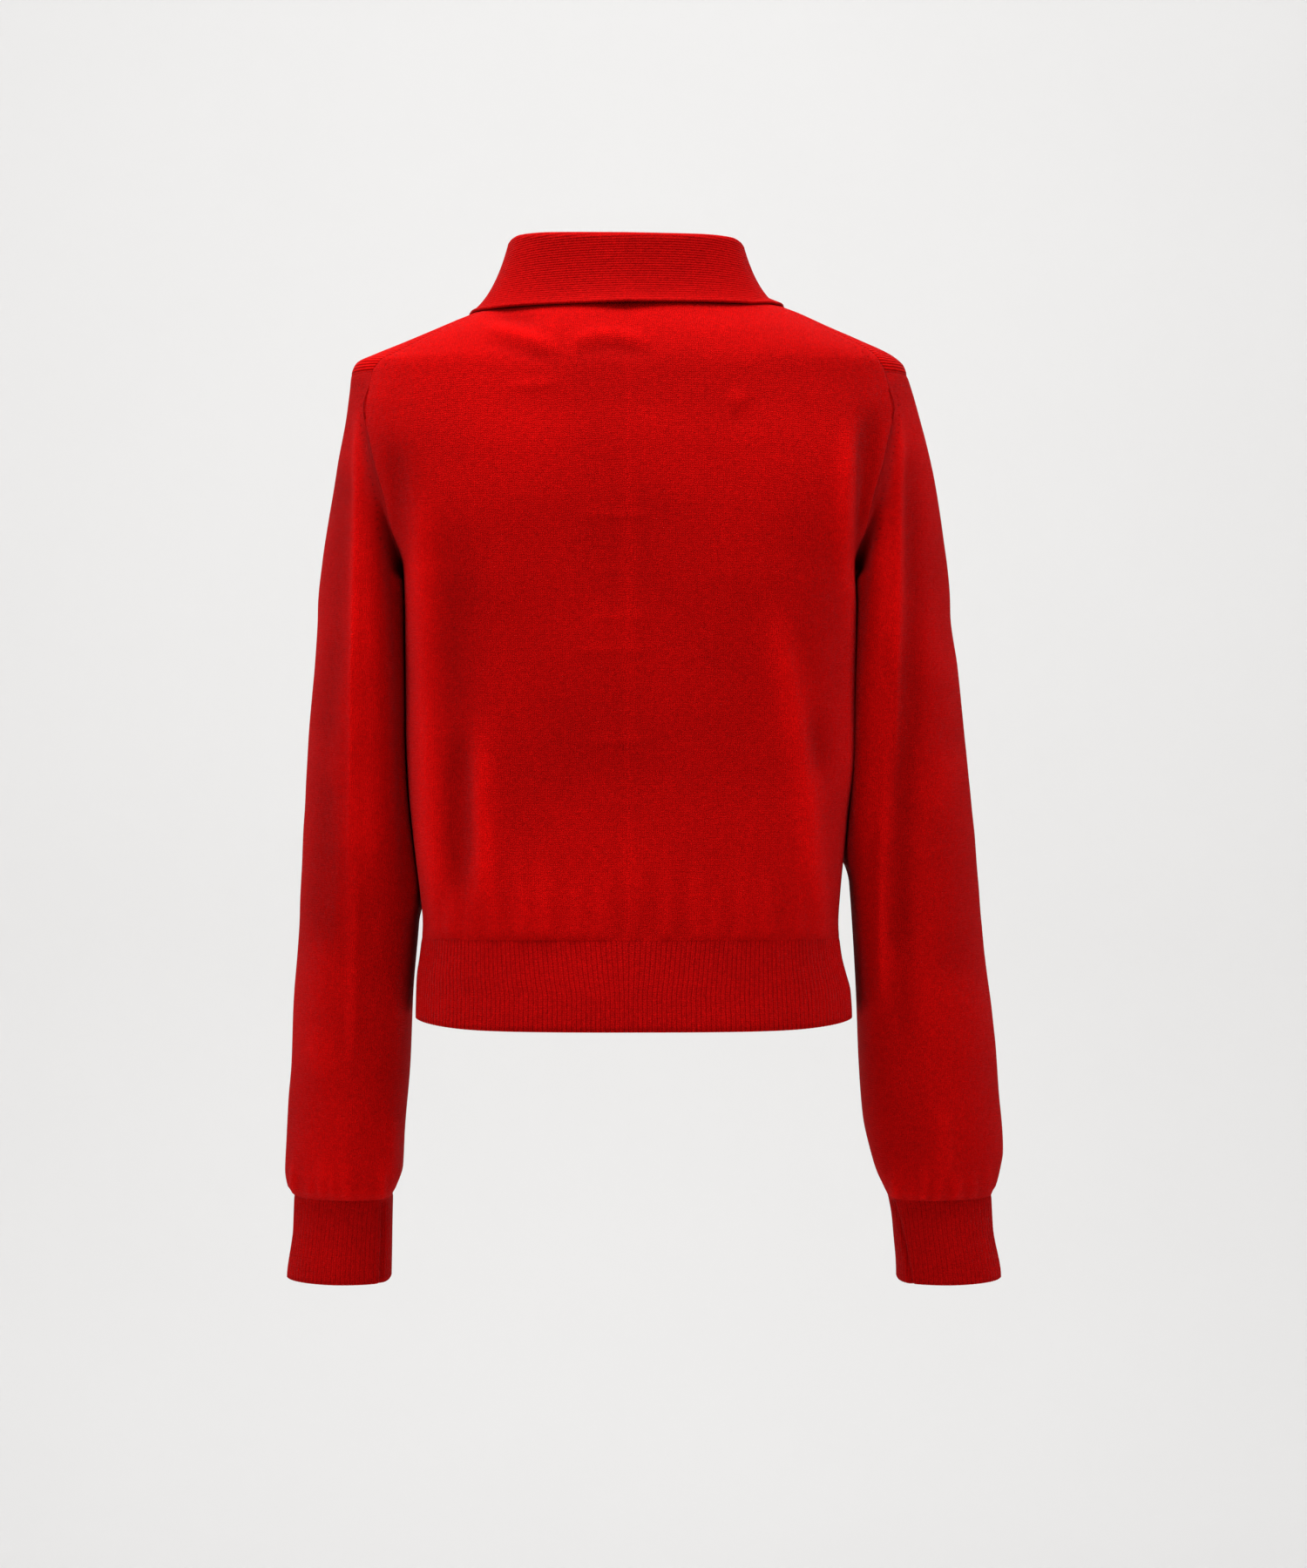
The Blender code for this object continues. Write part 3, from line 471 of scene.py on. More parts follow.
class KnitMap:
    """How far round from the middle, and how far up from the hem, each point of the body lies."""

    TURN_STEP = 1.0
    LEVEL_STEP = 2.0

    def __init__(self):
        self.turns = np.arange(-180.0, 180.0 + 0.1, self.TURN_STEP)
        self.levels = np.arange(HEM_Z, SIDE_NECK_Z + 0.1, self.LEVEL_STEP)
        points = body_point(self.turns[:, None], self.levels[None, :])
        across = run(points)
        at_back, at_front = (across - across[np.searchsorted(self.turns, turn)] for turn in (90.0, -90.0))
        self.across = np.where((self.turns >= 0.0)[:, None], at_back, at_front)
        self.up = run(points, axis=1)

    def read(self, values, turn, z):
        turn = (turn + 180.0) % 360.0 - 180.0
        i = (turn - self.turns[0]) / self.TURN_STEP
        j = (z - self.levels[0]) / self.LEVEL_STEP
        i0 = np.clip(np.floor(i).astype(int), 0, len(self.turns) - 2)
        j0 = np.clip(np.floor(j).astype(int), 0, len(self.levels) - 2)
        i, j = i - i0, np.clip(j - j0, 0.0, 1.0)
        low = mix(values[i0, j0], values[i0 + 1, j0], i)
        high = mix(values[i0, j0 + 1], values[i0 + 1, j0 + 1], i)
        return mix(low, high, j)

    def at(self, grid, side, back):
        turn = turned(grid[..., 0], side, back)
        inside = np.where(back, np.clip(turn, 0.5, 179.5), np.clip(turn, -179.5, -0.5))
        return pairs(self.read(self.across, inside, grid[..., 1]), self.read(self.up, turn, grid[..., 1]))


KNIT = KnitMap()




# ---- creases


# Each crease: its line from end to end as (x, z), how wide it is, how high (or, where negative,
# how deep), and how far it takes to die away at its ends.
BACK_CREASES = (
    # the corner where the back turns towards the left side
    (((135, -138), (135, -250), (130, -380), (123, -442)), 9.0, 3.8, 60.0),
    (((112, -150), (114, -250), (112, -380), (108, -436)), 16.0, -1.6, 70.0),
    # the right corner, and the hollow beside it
    (((-148, -93), (-142, -150), (-143, -199), (-149, -234), (-149, -314), (-146, -365)), 7.0, 3.2, 45.0),
    (((-164, -84), (-159, -120), (-158, -160), (-157, -205)), 8.0, -5.0, 44.0),
    (((159, -100), (153, -140), (151, -190)), 8.0, -1.8, 34.0),
    # the second fold on the left
    (((96, -290), (96, -350), (94, -400), (92, -442)), 8.0, 4.2, 50.0),
    (((112, -300), (112, -370), (111, -430)), 9.0, -2.8, 40.0),
    # the slanting fold on the right
    (((-94, -214), (-104, -276), (-115, -333), (-121, -398), (-123, -437)), 9.0, 3.1, 55.0),
    (((-124, -280), (-124, -310), (-126, -350)), 9.0, -2.3, 34.0),
    # soft folds below the collar
    (((96, -26), (76, -31), (52, -36)), 5.0, -1.9, 18.0),
    (((100, -36), (70, -46), (40, -55)), 5.0, 2.2, 22.0),
    (((100, -45), (70, -56), (41, -66)), 5.5, -1.6, 22.0),
    (((44, -52), (17, -44), (-19, -50)), 5.0, 1.8, 18.0),
    (((38, -62), (16, -54), (-20, -60)), 5.5, -1.3, 18.0),
    (((82, -80), (62, -79), (43, -76)), 4.0, 0.8, 12.0),
    (((-64, -84), (-73, -88), (-82, -90)), 6.0, 1.4, 9.0),
    (((-64, -99), (-73, -101), (-81, -102)), 6.0, -0.8, 9.0),
    # faint lines across, from the way it was folded
    (((34, -164), (8, -165), (-18, -164)), 2.5, 0.45, 14.0),
    (((30, -233), (6, -232), (-20, -233)), 2.5, 0.4, 14.0),
    (((39, -254), (10, -253), (-19, -254)), 2.5, 0.45, 14.0),
    (((39, -312), (8, -313), (-19, -312)), 2.5, 0.5, 14.0),
    (((26, -352), (4, -353), (-16, -352)), 2.5, 0.4, 14.0),
)

FRONT_CREASES = (
    (((128, -150), (133, -260), (126, -370), (119, -436)), 10.0, 2.8, 60.0),
    (((104, -190), (108, -280), (104, -380), (100, -440)), 14.0, -1.8, 60.0),
    (((-130, -140), (-136, -230), (-131, -330), (-124, -430)), 10.0, 2.6, 60.0),
    (((-108, -200), (-112, -300), (-108, -400)), 14.0, -1.8, 60.0),
    (((72, -250), (80, -330), (86, -420)), 10.0, 2.4, 60.0),
    (((-58, -230), (-70, -320), (-84, -430)), 11.0, 2.6, 60.0),
    (((20, -210), (12, -300), (16, -400)), 12.0, 1.6, 70.0),
    (((118, -118), (84, -150), (48, -170)), 9.0, -1.6, 34.0),
    (((-120, -112), (-88, -140), (-54, -164)), 9.0, -1.6, 34.0),
    (((96, -60), (70, -88), (40, -118)), 8.0, 1.2, 26.0),
    (((-94, -62), (-70, -92), (-38, -116)), 8.0, 1.2, 26.0),
)

# The sleeves' creases, by side and whether behind.
SLEEVE_CREASES = {
    (1, True): (
        (((181, -84), (181, -160), (182, -260), (184, -400), (186, -540)), 3.6, 2.1, 30.0),
        (((174, -150), (173, -220), (172, -300), (174, -430)), 12.0, 2.4, 50.0),
        (((193, -120), (196, -235), (202, -294), (206, -400), (207, -460)), 10.0, -2.2, 30.0),
        (((160, -560), (161, -590), (163, -612)), 5.0, 1.6, 14.0),
        (((214, -300), (202, -330), (190, -352)), 12.0, 1.3, 24.0),
        (((204, -420), (192, -452), (176, -470)), 14.0, -1.2, 26.0),
        (((216, -500), (205, -530), (192, -546)), 12.0, 1.3, 24.0),
    ),
    (1, False): (
        (((206, -260), (190, -320), (182, -380)), 10.0, 2.0, 40.0),
        (((214, -430), (196, -455), (172, -468)), 10.0, -1.8, 26.0),
        (((218, -500), (200, -520), (176, -528)), 10.0, 1.8, 26.0),
        (((196, -540), (192, -575), (190, -606)), 8.0, 1.6, 26.0),
    ),
    (-1, True): (
        (
            ((-180, -90), (-180, -160), (-178, -240), (-173, -330), (-168, -400), (-170, -500)),
            3.6,
            2.1,
            30.0,
        ),
        (((-170, -150), (-169, -220), (-165, -300), (-162, -400)), 11.0, 2.0, 50.0),
        (((-189, -110), (-189, -280), (-184, -345), (-182, -420), (-181, -470)), 8.0, -2.4, 30.0),
        (((-183, -448), (-184, -485), (-186, -520)), 6.0, -1.4, 24.0),
        (((-210, -556), (-212, -585), (-213, -612)), 5.0, 1.6, 14.0),
        (((-222, -310), (-208, -345), (-196, -372)), 13.0, 1.3, 26.0),
        (((-232, -430), (-216, -462), (-202, -480)), 13.0, -1.2, 26.0),
    ),
    (-1, False): (
        (((-208, -250), (-192, -310), (-184, -372)), 10.0, 2.0, 40.0),
        (((-226, -420), (-206, -448), (-178, -462)), 10.0, -1.8, 26.0),
        (((-236, -498), (-214, -520), (-184, -528)), 10.0, 1.8, 26.0),
        (((-214, -545), (-212, -578), (-212, -606)), 8.0, 1.6, 26.0),
    ),
}

BODY_SIDE_FADE = 26.0  # how far before and behind the sides the creases take to rise
SLEEVE_SIDE_FADE = 16.0

# Slow swells of the cloth: how wide and how high they are, and their seed.
BODY_SWELLS = ((85.0, 1.3, 1), (30.0, 0.35, 2))
SLEEVE_SWELLS = {side: ((60.0, 1.2, 3 + side), (24.0, 0.35, 7)) for side in (1, -1)}
RIB_SWELLS = ((60.0, 1.0, 9),)
CUFF_SWELLS = {side: ((30.0, 0.8, 11 + side),) for side in (1, -1)}

# The body's sides have no swells beside the sleeves: between two levels, each with how far
# inwards of it they take to die away, and up to a depth, with how far beyond it they rise. Nor
# have the sleeves close to the body: up to how far out, and how far beyond it they rise.
BESIDE_SLEEVE = {"low": (-470.0, 40.0), "high": (-150.0, 60.0), "depth": (18.0, 40.0)}
BESIDE_BODY = (153.0, 18.0)

# The folds where cloth is drawn in by its rib: half the width they fill, their usual distance
# apart, length and height.
BACK_GATHERS = (132.0, 17.0, 64.0, 1.5)
FRONT_GATHERS = (132.0, 18.0, 64.0, 1.5)
CUFF_GATHERS = (34.0, 10.0, 28.0, 1.7)


def gathers(seed, level, half_width, pitch, length, height, middle=0.0):
    """Short upright folds, uneven in place and size."""
    chance = random.Random(seed)
    rows = []
    x = -half_width + chance.uniform(0.2, 0.8) * pitch
    while x < half_width:
        reach = length * chance.uniform(0.55, 1.25)
        lean = chance.uniform(-0.10, 0.10) * reach
        rise = height * chance.uniform(0.45, 1.15)
        places = ((0.0, -0.5), (lean * 0.4, 0.5), (lean, 1.0))
        line = tuple((x + middle + off, level + reach * share) for off, share in places)
        rows.append((line, pitch * chance.uniform(0.24, 0.36), rise, reach * 0.7))
        x += pitch * chance.uniform(0.75, 1.3)
    return tuple(rows)


def curve_through(points, count):
    """Points along a smooth curve through the given ones."""
    points = np.array(points, float)
    padded = np.vstack([2.0 * points[0] - points[1], points, 2.0 * points[-1] - points[-2]])
    shares = np.linspace(0.0, 1.0, count, endpoint=False)[:, None]
    slopes = (padded[2:] - padded[:-2]) / 2.0
    stretches = zip(points, slopes, points[1:], slopes[1:])
    return np.vstack([hermite(*stretch, shares) for stretch in stretches] + [points[-1:]])


def nearest_on_line(places, line):
    """For each place, how far it is from a line of points, and how far along its foot lies."""
    before = run(line)
    best = np.full(len(places), 1e9)
    along = np.zeros(len(places))
    for start, step, so_far in zip(line, np.diff(line, axis=0), before):
        length = max(np.linalg.norm(step), 1e-9)
        share = np.clip((places - start) @ step / length**2, 0.0, 1.0)
        away = np.linalg.norm(places - start - share[:, None] * step, axis=1)
        along = np.where(away < best, so_far + share * length, along)
        best = np.minimum(best, away)
    return best, along, before[-1]


def within(places, line, reach):
    """Which places lie in a line's box, made wider by the reach."""
    return ((places >= line.min(0) - reach) & (places <= line.max(0) + reach)).all(axis=1)


def crease_heights(places, creases):
    """How far the creases lift the cloth at each (x, z)."""
    total = np.zeros(len(places))
    for points, width, height, fade in creases:
        curve = curve_through(points, 5)
        near = within(places, curve, 3.0 * width)
        away, along, length = nearest_on_line(places[near], curve)
        ends = smooth(along / fade) * smooth((length - along) / fade)
        total[near] += height * np.exp(-((away / width) ** 2)) * ends
    return total


def swelling(points, swells):
    """How far the swells lift the cloth, the same wherever two pieces meet."""
    total = np.zeros(len(points))
    for size, height, seed in swells:
        shift = Vector((seed * 13.7, seed * 5.1, seed * 2.3))
        total += np.array([noise.noise(Vector(p) / size + shift) for p in points]) * height
    return total


def rising(value, start, reach):
    """0 up to the start, rising to 1 over the reach."""
    return smooth((value - start) / reach)


def both_sides(points, depth, creases, fade):
    """The heights of the creases behind (True) and in front (False), none at the very side."""
    heights = np.zeros(len(points))
    for back, here in ((True, depth > 0.0), (False, depth < 0.0)):
        heights[here] = crease_heights(points[here][:, [0, 2]], creases[back])
    return heights * smooth(np.abs(depth) / fade)


BODY_CREASES = {
    True: BACK_CREASES + gathers(3, RIB_TOP_Z, *BACK_GATHERS),
    False: FRONT_CREASES + gathers(8, RIB_TOP_Z, *FRONT_GATHERS),
}


def body_creases(points):
    """How far the body's cloth stands out from its smooth form."""
    depth = points[:, 1]
    high, reach = BESIDE_SLEEVE["high"]
    beside_sleeve = rising(points[:, 2], *BESIDE_SLEEVE["low"]) * rising(-points[:, 2], -high, reach)
    off_side = rising(np.abs(depth), *BESIDE_SLEEVE["depth"])
    slow = swelling(points, BODY_SWELLS) * mix(1.0, off_side, beside_sleeve)
    return both_sides(points, depth, BODY_CREASES, BODY_SIDE_FADE) + slow


def sleeve_creases(side):
    """What tells how far a sleeve's cloth stands out from its smooth form."""
    table = SLEEVE_TABLES[side]
    middle = side * (table.at("outer", CUFF_TOP_Z) + table.at("inner", CUFF_TOP_Z)) / 2.0
    creases = {
        back: SLEEVE_CREASES[(side, back)]
        + gathers(20 + side * 3 + back, CUFF_TOP_Z, *CUFF_GATHERS, middle=middle)
        for back in (True, False)
    }

    def heights_at(points):
        depth = points[:, 1] - table.at("middle_y", points[:, 2])
        slow = swelling(points, SLEEVE_SWELLS[side]) * rising(np.abs(points[:, 0]), *BESIDE_BODY)
        return both_sides(points, depth, creases, SLEEVE_SIDE_FADE) + slow

    return heights_at


# ---- meshes


class Piece:
    """Grids of points that are welded into one outer side, which then gets its thickness.

    Each corner of a face holds its place in the knit (across and up, and whether on a strap),
    how it lies to the nearest seam (away from it, along it and the seam's kind), and how far
    the creases lift it.
    """

    def __init__(self):
        self.grids = []
        self.joined = []  # rim points that lie in a seam

    def add(self, grid, knit, flip=False, strap=0.0):
        flag = np.full(knit.shape[:-1] + (1,), strap)
        self.grids.append((grid, np.concatenate([knit, flag], axis=-1), flip))

    def weld(self):
        points = np.concatenate([grid.reshape(-1, 3) for grid, _, _ in self.grids])
        _, first, index = np.unique(np.round(points, 2), axis=0, return_index=True, return_inverse=True)
        self.points = points[first]
        faces, corners, start = [], [], 0
        for grid, knit, flip in self.grids:
            rows, columns = grid.shape[:2]
            place = np.arange(rows * columns).reshape(rows, columns)
            quad = np.stack([place[:-1, :-1], place[:-1, 1:], place[1:, 1:], place[1:, :-1]], axis=-1)
            quad = quad.reshape(-1, 4)[:, :: -1 if flip else 1]
            faces.append(index.reshape(-1)[start + quad])
            corners.append(knit.reshape(-1, knit.shape[-1])[quad])
            start += rows * columns
        faces = np.concatenate(faces)
        whole = (faces != np.roll(faces, 1, axis=1)).all(axis=1)
        self.faces, self.corners = faces[whole], np.concatenate(corners)[whole]
        return self

    def normals(self):
        p, f = self.points, self.faces
        face = np.cross(p[f[:, 2]] - p[f[:, 0]], p[f[:, 3]] - p[f[:, 1]])
        total = np.zeros_like(p)
        for k in range(4):
            np.add.at(total, f[:, k], face)
        return unit(total)

    def rim(self):
        """Directed edges that only one face has."""
        f = self.faces
        edges = np.concatenate([f[:, [k, (k + 1) % 4]] for k in range(4)])
        _, index, count = np.unique(np.sort(edges, axis=1), axis=0, return_inverse=True, return_counts=True)
        return edges[count[index.reshape(-1)] == 1]

    def inwards(self):
        """At each rim point, the direction along the cloth into the piece."""
        p, f = self.points, self.faces
        centre = p[f].mean(axis=1)
        total, count = np.zeros_like(p), np.zeros(len(p))
        for k in range(4):
            np.add.at(total, f[:, k], centre)
            np.add.at(count, f[:, k], 1.0)
        on_rim = np.unique(self.rim())
        normal = self.normals()[on_rim]
        step = total[on_rim] / count[on_rim, None] - p[on_rim]
        return on_rim, unit(step - normal * (step * normal).sum(axis=1, keepdims=True))

    def corner_values(self, column):
        """One of the corners' values, by point."""
        values = np.zeros(len(self.points))
        values[self.faces.reshape(-1)] = self.corners[..., column].reshape(-1)
        return values

    def add_ribs(self, height, below_top):
        """Furrows between ribs, which die away towards the rib's top."""
        lift = rib_profile(self.corner_values(0) / RIB_PITCH) - 1.0
        lift *= height * mix(RIB_START_SHARE, 1.0, smooth(below_top / RIB_START))
        self.points += self.normals() * lift[:, None]

    def mesh(self, name, thickness, material):
        """A closed wall of the given thickness inside the piece's points, with rounded edges."""
        count = len(self.points)
        inner = self.points - self.normals() * thickness
        on_rim, inwards = self.inwards()
        middle_number = np.full(count, -1)
        middle_number[on_rim] = 2 * count + np.arange(len(on_rim))
        middle = (self.points[on_rim] + inner[on_rim]) / 2.0 - inwards * thickness * EDGE_ROUNDING
        points = np.concatenate([self.points, inner, middle])
        a, b = self.rim().T
        sides = np.concatenate(
            [
                np.stack([b, a, middle_number[a], middle_number[b]], axis=-1),
                np.stack([middle_number[b], middle_number[a], a + count, b + count], axis=-1),
            ]
        )
        faces = np.concatenate([self.faces, self.faces[:, ::-1] + count, sides])
        by_point = np.stack([self.corner_values(k) for k in range(7)], axis=-1)
        by_point = np.concatenate([by_point, by_point, by_point[on_rim]])
        corners = np.concatenate([self.corners, self.corners[:, ::-1], by_point[sides]])
        data = bpy.data.meshes.new(name)
        data.vertices.add(len(points))
        data.vertices.foreach_set("co", (points * MM).astype(np.float32).reshape(-1))
        data.loops.add(faces.size)
        data.loops.foreach_set("vertex_index", faces.reshape(-1).astype(np.int32))
        data.polygons.add(len(faces))
        data.polygons.foreach_set("loop_start", np.arange(0, faces.size, 4, dtype=np.int32))
        data.update(calc_edges=True)
        data.validate()
        data.update()
        for title, first, size in (("knit", 0, 3), ("seam", 3, 3), ("crease_light", 6, 1)):
            kind, key = ("FLOAT_VECTOR", "vector") if size == 3 else ("FLOAT", "value")
            values = corners[..., first : first + size].astype(np.float32)
            data.attributes.new(title, kind, "CORNER").data.foreach_set(key, values.reshape(-1))
        data.shade_smooth()
        if len(self.joined):
            joined = np.zeros(len(points), bool)
            joined[self.joined] = True
            ends = np.zeros(len(data.edges) * 2, np.int32)
            data.edges.foreach_get("vertices", ends)
            sharp = data.attributes.new("sharp_edge", "BOOLEAN", "EDGE")
            sharp.data.foreach_set("value", joined[ends.reshape(-1, 2)].all(axis=1))
        data.materials.append(material)
        return add_object(name, data)


def sewn(piece, seams, creases_at=None, groove=SEAM_DEPTH):
    """Moves the points of a piece for its creases, and draws it down into its seams."""
    away = np.full(len(piece.points), 1e9)
    along = np.zeros(len(piece.points))
    kinds = np.zeros(len(piece.points))
    for line, kind in seams:
        near = np.nonzero(within(piece.points, line, 3.0 * EASE_WIDTH))[0]
        distance, way, _ = nearest_on_line(piece.points[near], line)
        closer = distance < away[near]
        away[near[closer]] = distance[closer]
        along[near[closer]] = way[closer]
        kinds[near[closer]] = kind
    lift = np.zeros(len(piece.points))
    if creases_at is not None:
        ease = np.where(kinds == LINKED, LINKED_EASE_WIDTH, EASE_WIDTH)
        lift += creases_at(piece.points) * smooth(away / ease)
    # The creases' lift is kept for the colour: ridges painted lighter and hollows painted darker, as light
    # and shade.
    crease_light = lift.copy()
    depth = np.where(kinds == LINKED, LINKED_DEPTH, 1.0) * groove
    lift -= depth * np.exp(-((away / SEAM_WIDTH) ** 2))
    on_rim, inwards = piece.inwards()
    at_seam = away[on_rim] < AT_SEAM
    piece.points = piece.points + piece.normals() * lift[:, None]
    piece.joined = on_rim[at_seam]
    piece.points[piece.joined] += inwards[at_seam] * SEAM_PULL
    extra = np.stack([np.minimum(away, FAR_AWAY), along, kinds, crease_light], axis=-1)[piece.faces]
    piece.corners = np.concatenate([piece.corners, extra], axis=-1)
    return piece


# ---- the panels


def borders(side):
    """The lines that a side's pieces share: the armhole, shoulder seam, side seam and neckline."""
    back, front, strap = back_half(side), front_half(side), strap_grid(side)
    behind, before = placed(back[:, -1], side), placed(front[:, -1], side, False)
    over = placed(strap[0], side)[::-1]
    return {
        "armhole": np.concatenate([behind[: ARMHOLE_STEPS + 1], over, before[ARMHOLE_STEPS::-1]]),
        "shoulder": behind[ARMHOLE_STEPS:],
        "side": body_point(turned(0.0, side, True), np.linspace(RIB_TOP_Z, UNDERARM_Z, 101)),
        "neck": neckline(side),
    }


def neckline(side):
    """The neckline's points, from near the middle of the front to the middle of the back."""
    front = placed(front_half(side)[-1], side, False)
    strap = placed(strap_grid(side)[-1], side)
    back = placed(back_half(side)[-1], side)
    start = body_point(-90.0, front[0, 2] + COLLAR_FRONT_RISE)
    start[0] = side * COLLAR_FRONT_GAP
    return np.concatenate([start[None], front, strap[1:], back[::-1][1:]])


def level_line(z, low_turn, high_turn):
    return body_point(np.linspace(low_turn, high_turn, 400), z)


def middle_grid(levels, columns):
    """The strip between the two halves of the front, in line with the placket, and its knit."""
    x = np.linspace(-PLACKET_HALF_WIDTH, PLACKET_HALF_WIDTH, columns + 1)
    z = np.array(levels)[:, None]
    left, right = (turned(angle_at(np.abs(x), z, side), side, False) for side in (1, -1))
    up = KNIT.read(KNIT.up, np.full(len(levels), -90.0), z[:, 0])
    return body_point(np.where(x >= 0.0, left, right), z), pairs(x, up[:, None])


def add_halves(piece, side, back, upper, count):
    """Adds a side's half of the back or the front, below and above the underarm."""
    for grid in (lower_half(side, back, count), upper):
        piece.add(placed(grid, side, back), KNIT.at(grid, side, back), flip=back == (side > 0))


def make_back(material):
    piece = Piece()
    seams = [(level_line(RIB_TOP_Z, 0.0, 180.0), LINKED)]
    for side in (1, -1):
        add_halves(piece, side, True, back_half(side), BACK_HALF_COLUMNS)
        lines = borders(side)
        seams += [(lines[name], FASHIONED if name == "shoulder" else SEWN) for name in lines]
    sewn(piece.weld(), seams, body_creases)
    return piece, piece.mesh("back_panel", PANEL_WALL, material)


def make_front(material):
    piece = Piece()
    seams = [(level_line(RIB_TOP_Z, -180.0, 0.0), LINKED)]
    for side in (1, -1):
        upper = front_half(side)
        add_halves(piece, side, False, upper, FRONT_HALF_COLUMNS)
        strap = placed(strap_grid(side), side)
        knit = np.stack([run(strap, axis=1), run(strap)], axis=-1)
        piece.add(strap, knit, flip=side < 0, strap=1.0)
        seams += [(line, SEWN) for line in borders(side).values()]
        seams.append((placed(upper[:, 0], side, False), SEWN))
    piece.add(*middle_grid(np.linspace(RIB_TOP_Z, UNDERARM_Z, LOWER_ROWS + 1), MIDDLE_COLUMNS))
    seams.append((middle_grid([UNDERARM_Z], 20)[0][0], SEWN))
    sewn(piece.weld(), seams, body_creases)
    return piece, piece.mesh("front_panel", PANEL_WALL, material)


def rib_profile(phase):
    """A rib's height across it: a rounded ridge with a narrower furrow beside it."""
    fall = 0.5 - 0.5 * np.cos(2.0 * math.pi * phase)
    return 1.0 - fall**FURROW_SHARPNESS


def rib_columns(start, end, point):
    """Turns that lie evenly round a section, a few to each rib, and how many ribs round each is."""
    turns = np.linspace(start, end, 4001)
    points = point(turns)
    count = round(run(points)[-1] / RIB_PITCH) * STEPS_PER_RIB
    return evenly(turns, points, count), np.arange(count + 1) / STEPS_PER_RIB


def make_rib(name, low_turn, high_turn, material):
    """A half of the hem's rib, with real ribs."""
    middle = (HEM_Z + RIB_TOP_Z) / 2.0
    turns, ribs = rib_columns(low_turn, high_turn, lambda turn: body_point(turn, middle))
    z = np.linspace(HEM_Z, RIB_TOP_Z, RIB_ROWS + 1)[:, None]
    grid = body_point(turns[None, :], z)
    share = (RIB_TOP_Z - z) / (RIB_TOP_Z - HEM_Z)
    grid[..., 2] += HEM_SIDE_LIFT * np.abs(np.cos(np.radians(turns)))[None, :] ** 5 * share**2
    piece = Piece()
    piece.add(grid, pairs(ribs * RIB_PITCH, z - HEM_Z))
    piece.weld()
    below_top = RIB_TOP_Z - piece.points[:, 2]
    seams = [(level_line(RIB_TOP_Z, low_turn, high_turn), LINKED)]
    side_z = np.linspace(HEM_Z, RIB_TOP_Z, 60)
    seams += [(body_point(turn, side_z), SEWN) for turn in (low_turn, high_turn)]

    def heights_at(points):
        drawn = (points[:, 2] - HEM_Z) / (RIB_TOP_Z - HEM_Z)
        return swelling(points, RIB_SWELLS) * smooth(drawn * 4.0 + 0.4)

    sewn(piece, seams, heights_at)
    piece.add_ribs(RIB_HEIGHT, below_top)
    return piece.mesh(name, RIB_WALL, material)


# ---- the sleeves


def sleeve_point(side, angle, z):
    """Points of a sleeve's outer side: 0 degrees is outwards and 90 is behind."""
    table = SLEEVE_TABLES[side]
    outer, inner = table.at("outer", z), table.at("inner", z)
    middle = (outer + inner) / 2.0
    turn = np.radians(angle)
    outwards = np.cos(turn) >= 0.0
    depth = np.where(np.sin(turn) >= 0.0, table.at("back", z), table.at("front", z))
    blunt = np.where(outwards, table.at("blunt", z), table.at("inner_blunt", z))
    x = middle + (outer - inner) / 2.0 * signed_power(np.cos(turn), 2.0 / blunt)
    x = x + (table.at("crease", z) - middle) * np.maximum(0.0, np.sin(turn)) ** 2
    off = depth * signed_power(np.sin(turn), np.where(outwards, 1.0, INNER_FULLNESS))
    tilt = SLEEVE_TILT * (CAP_TOP_Z - z) / (CAP_TOP_Z - CUFF_BOTTOM_Z)
    return np.stack(np.broadcast_arrays(side * x, table.at("middle_y", z) + off, z - tilt * off), axis=-1)


def cuff_line(side):
    return sleeve_point(side, np.linspace(-180.0, 180.0, 361), CUFF_TOP_Z)


def body_side(y, z, side):
    """How far out the body's side is at each place (y, z)."""
    square = BODY_TABLE.at("square", z)
    share = np.minimum(1.0, np.abs(y) / half_depth(z, y)) ** (square / 2.0)
    return half_width(z, side) * np.sqrt(1.0 - share**2) ** (2.0 / square)


def resting(points, angles, side):
    """A sleeve's points, with its inner side laid against the body as far as it touches it."""
    x, y, z = side * points[..., 0], points[..., 1], points[..., 2]
    body = body_side(y, z, side)
    on_body = np.stack([side * body, y, z], axis=-1)
    room = body + body_creases(on_body.reshape(-1, 3)).reshape(x.shape) + TOUCH_GAP - x
    round_inner = smooth((angles - TOUCH_FROM[side]) / TOUCH_EASE["behind"])
    round_inner += smooth((TOUCH_UNTIL - angles) / TOUCH_EASE["before"])
    below = smooth((UNDERARM_Z + 1.0 - z) / TOUCH_EASE["top"])
    above = smooth((z - TOUCH_END_Z[side]) / TOUCH_EASE["end"])
    pull = room * round_inner * below * above
    pull += np.maximum(0.0, room - pull) * below * (np.abs(angles) > 90.0)
    moved = points.copy()
    moved[..., 0] += side * pull
    return moved


def sleeve_ring(side):
    """The armhole's points and the turn round the sleeve that each of them leads to."""
    ring = borders(side)["armhole"]
    keep = np.insert(np.linalg.norm(np.diff(ring, axis=0), axis=1) > 0.05, 0, True)
    stretches = ((180.0, 90.0, ARMHOLE_STEPS), (90.0, -90.0, STRAP_COLUMNS), (-90.0, -180.0, ARMHOLE_STEPS))
    angles = np.concatenate([np.linspace(start, end, count + 1) for start, end, count in stretches])
    return ring[keep], angles[keep]


def evened(grid, rounds):
    """The grid with its inside evened out and its border kept."""
    grid = grid.copy()
    for _ in range(rounds):
        along = grid[:-2, 1:-1] + grid[2:, 1:-1]
        across = grid[1:-1, :-2] + grid[1:-1, 2:]
        grid[1:-1, 1:-1] = (along + across) / 4.0
    return grid


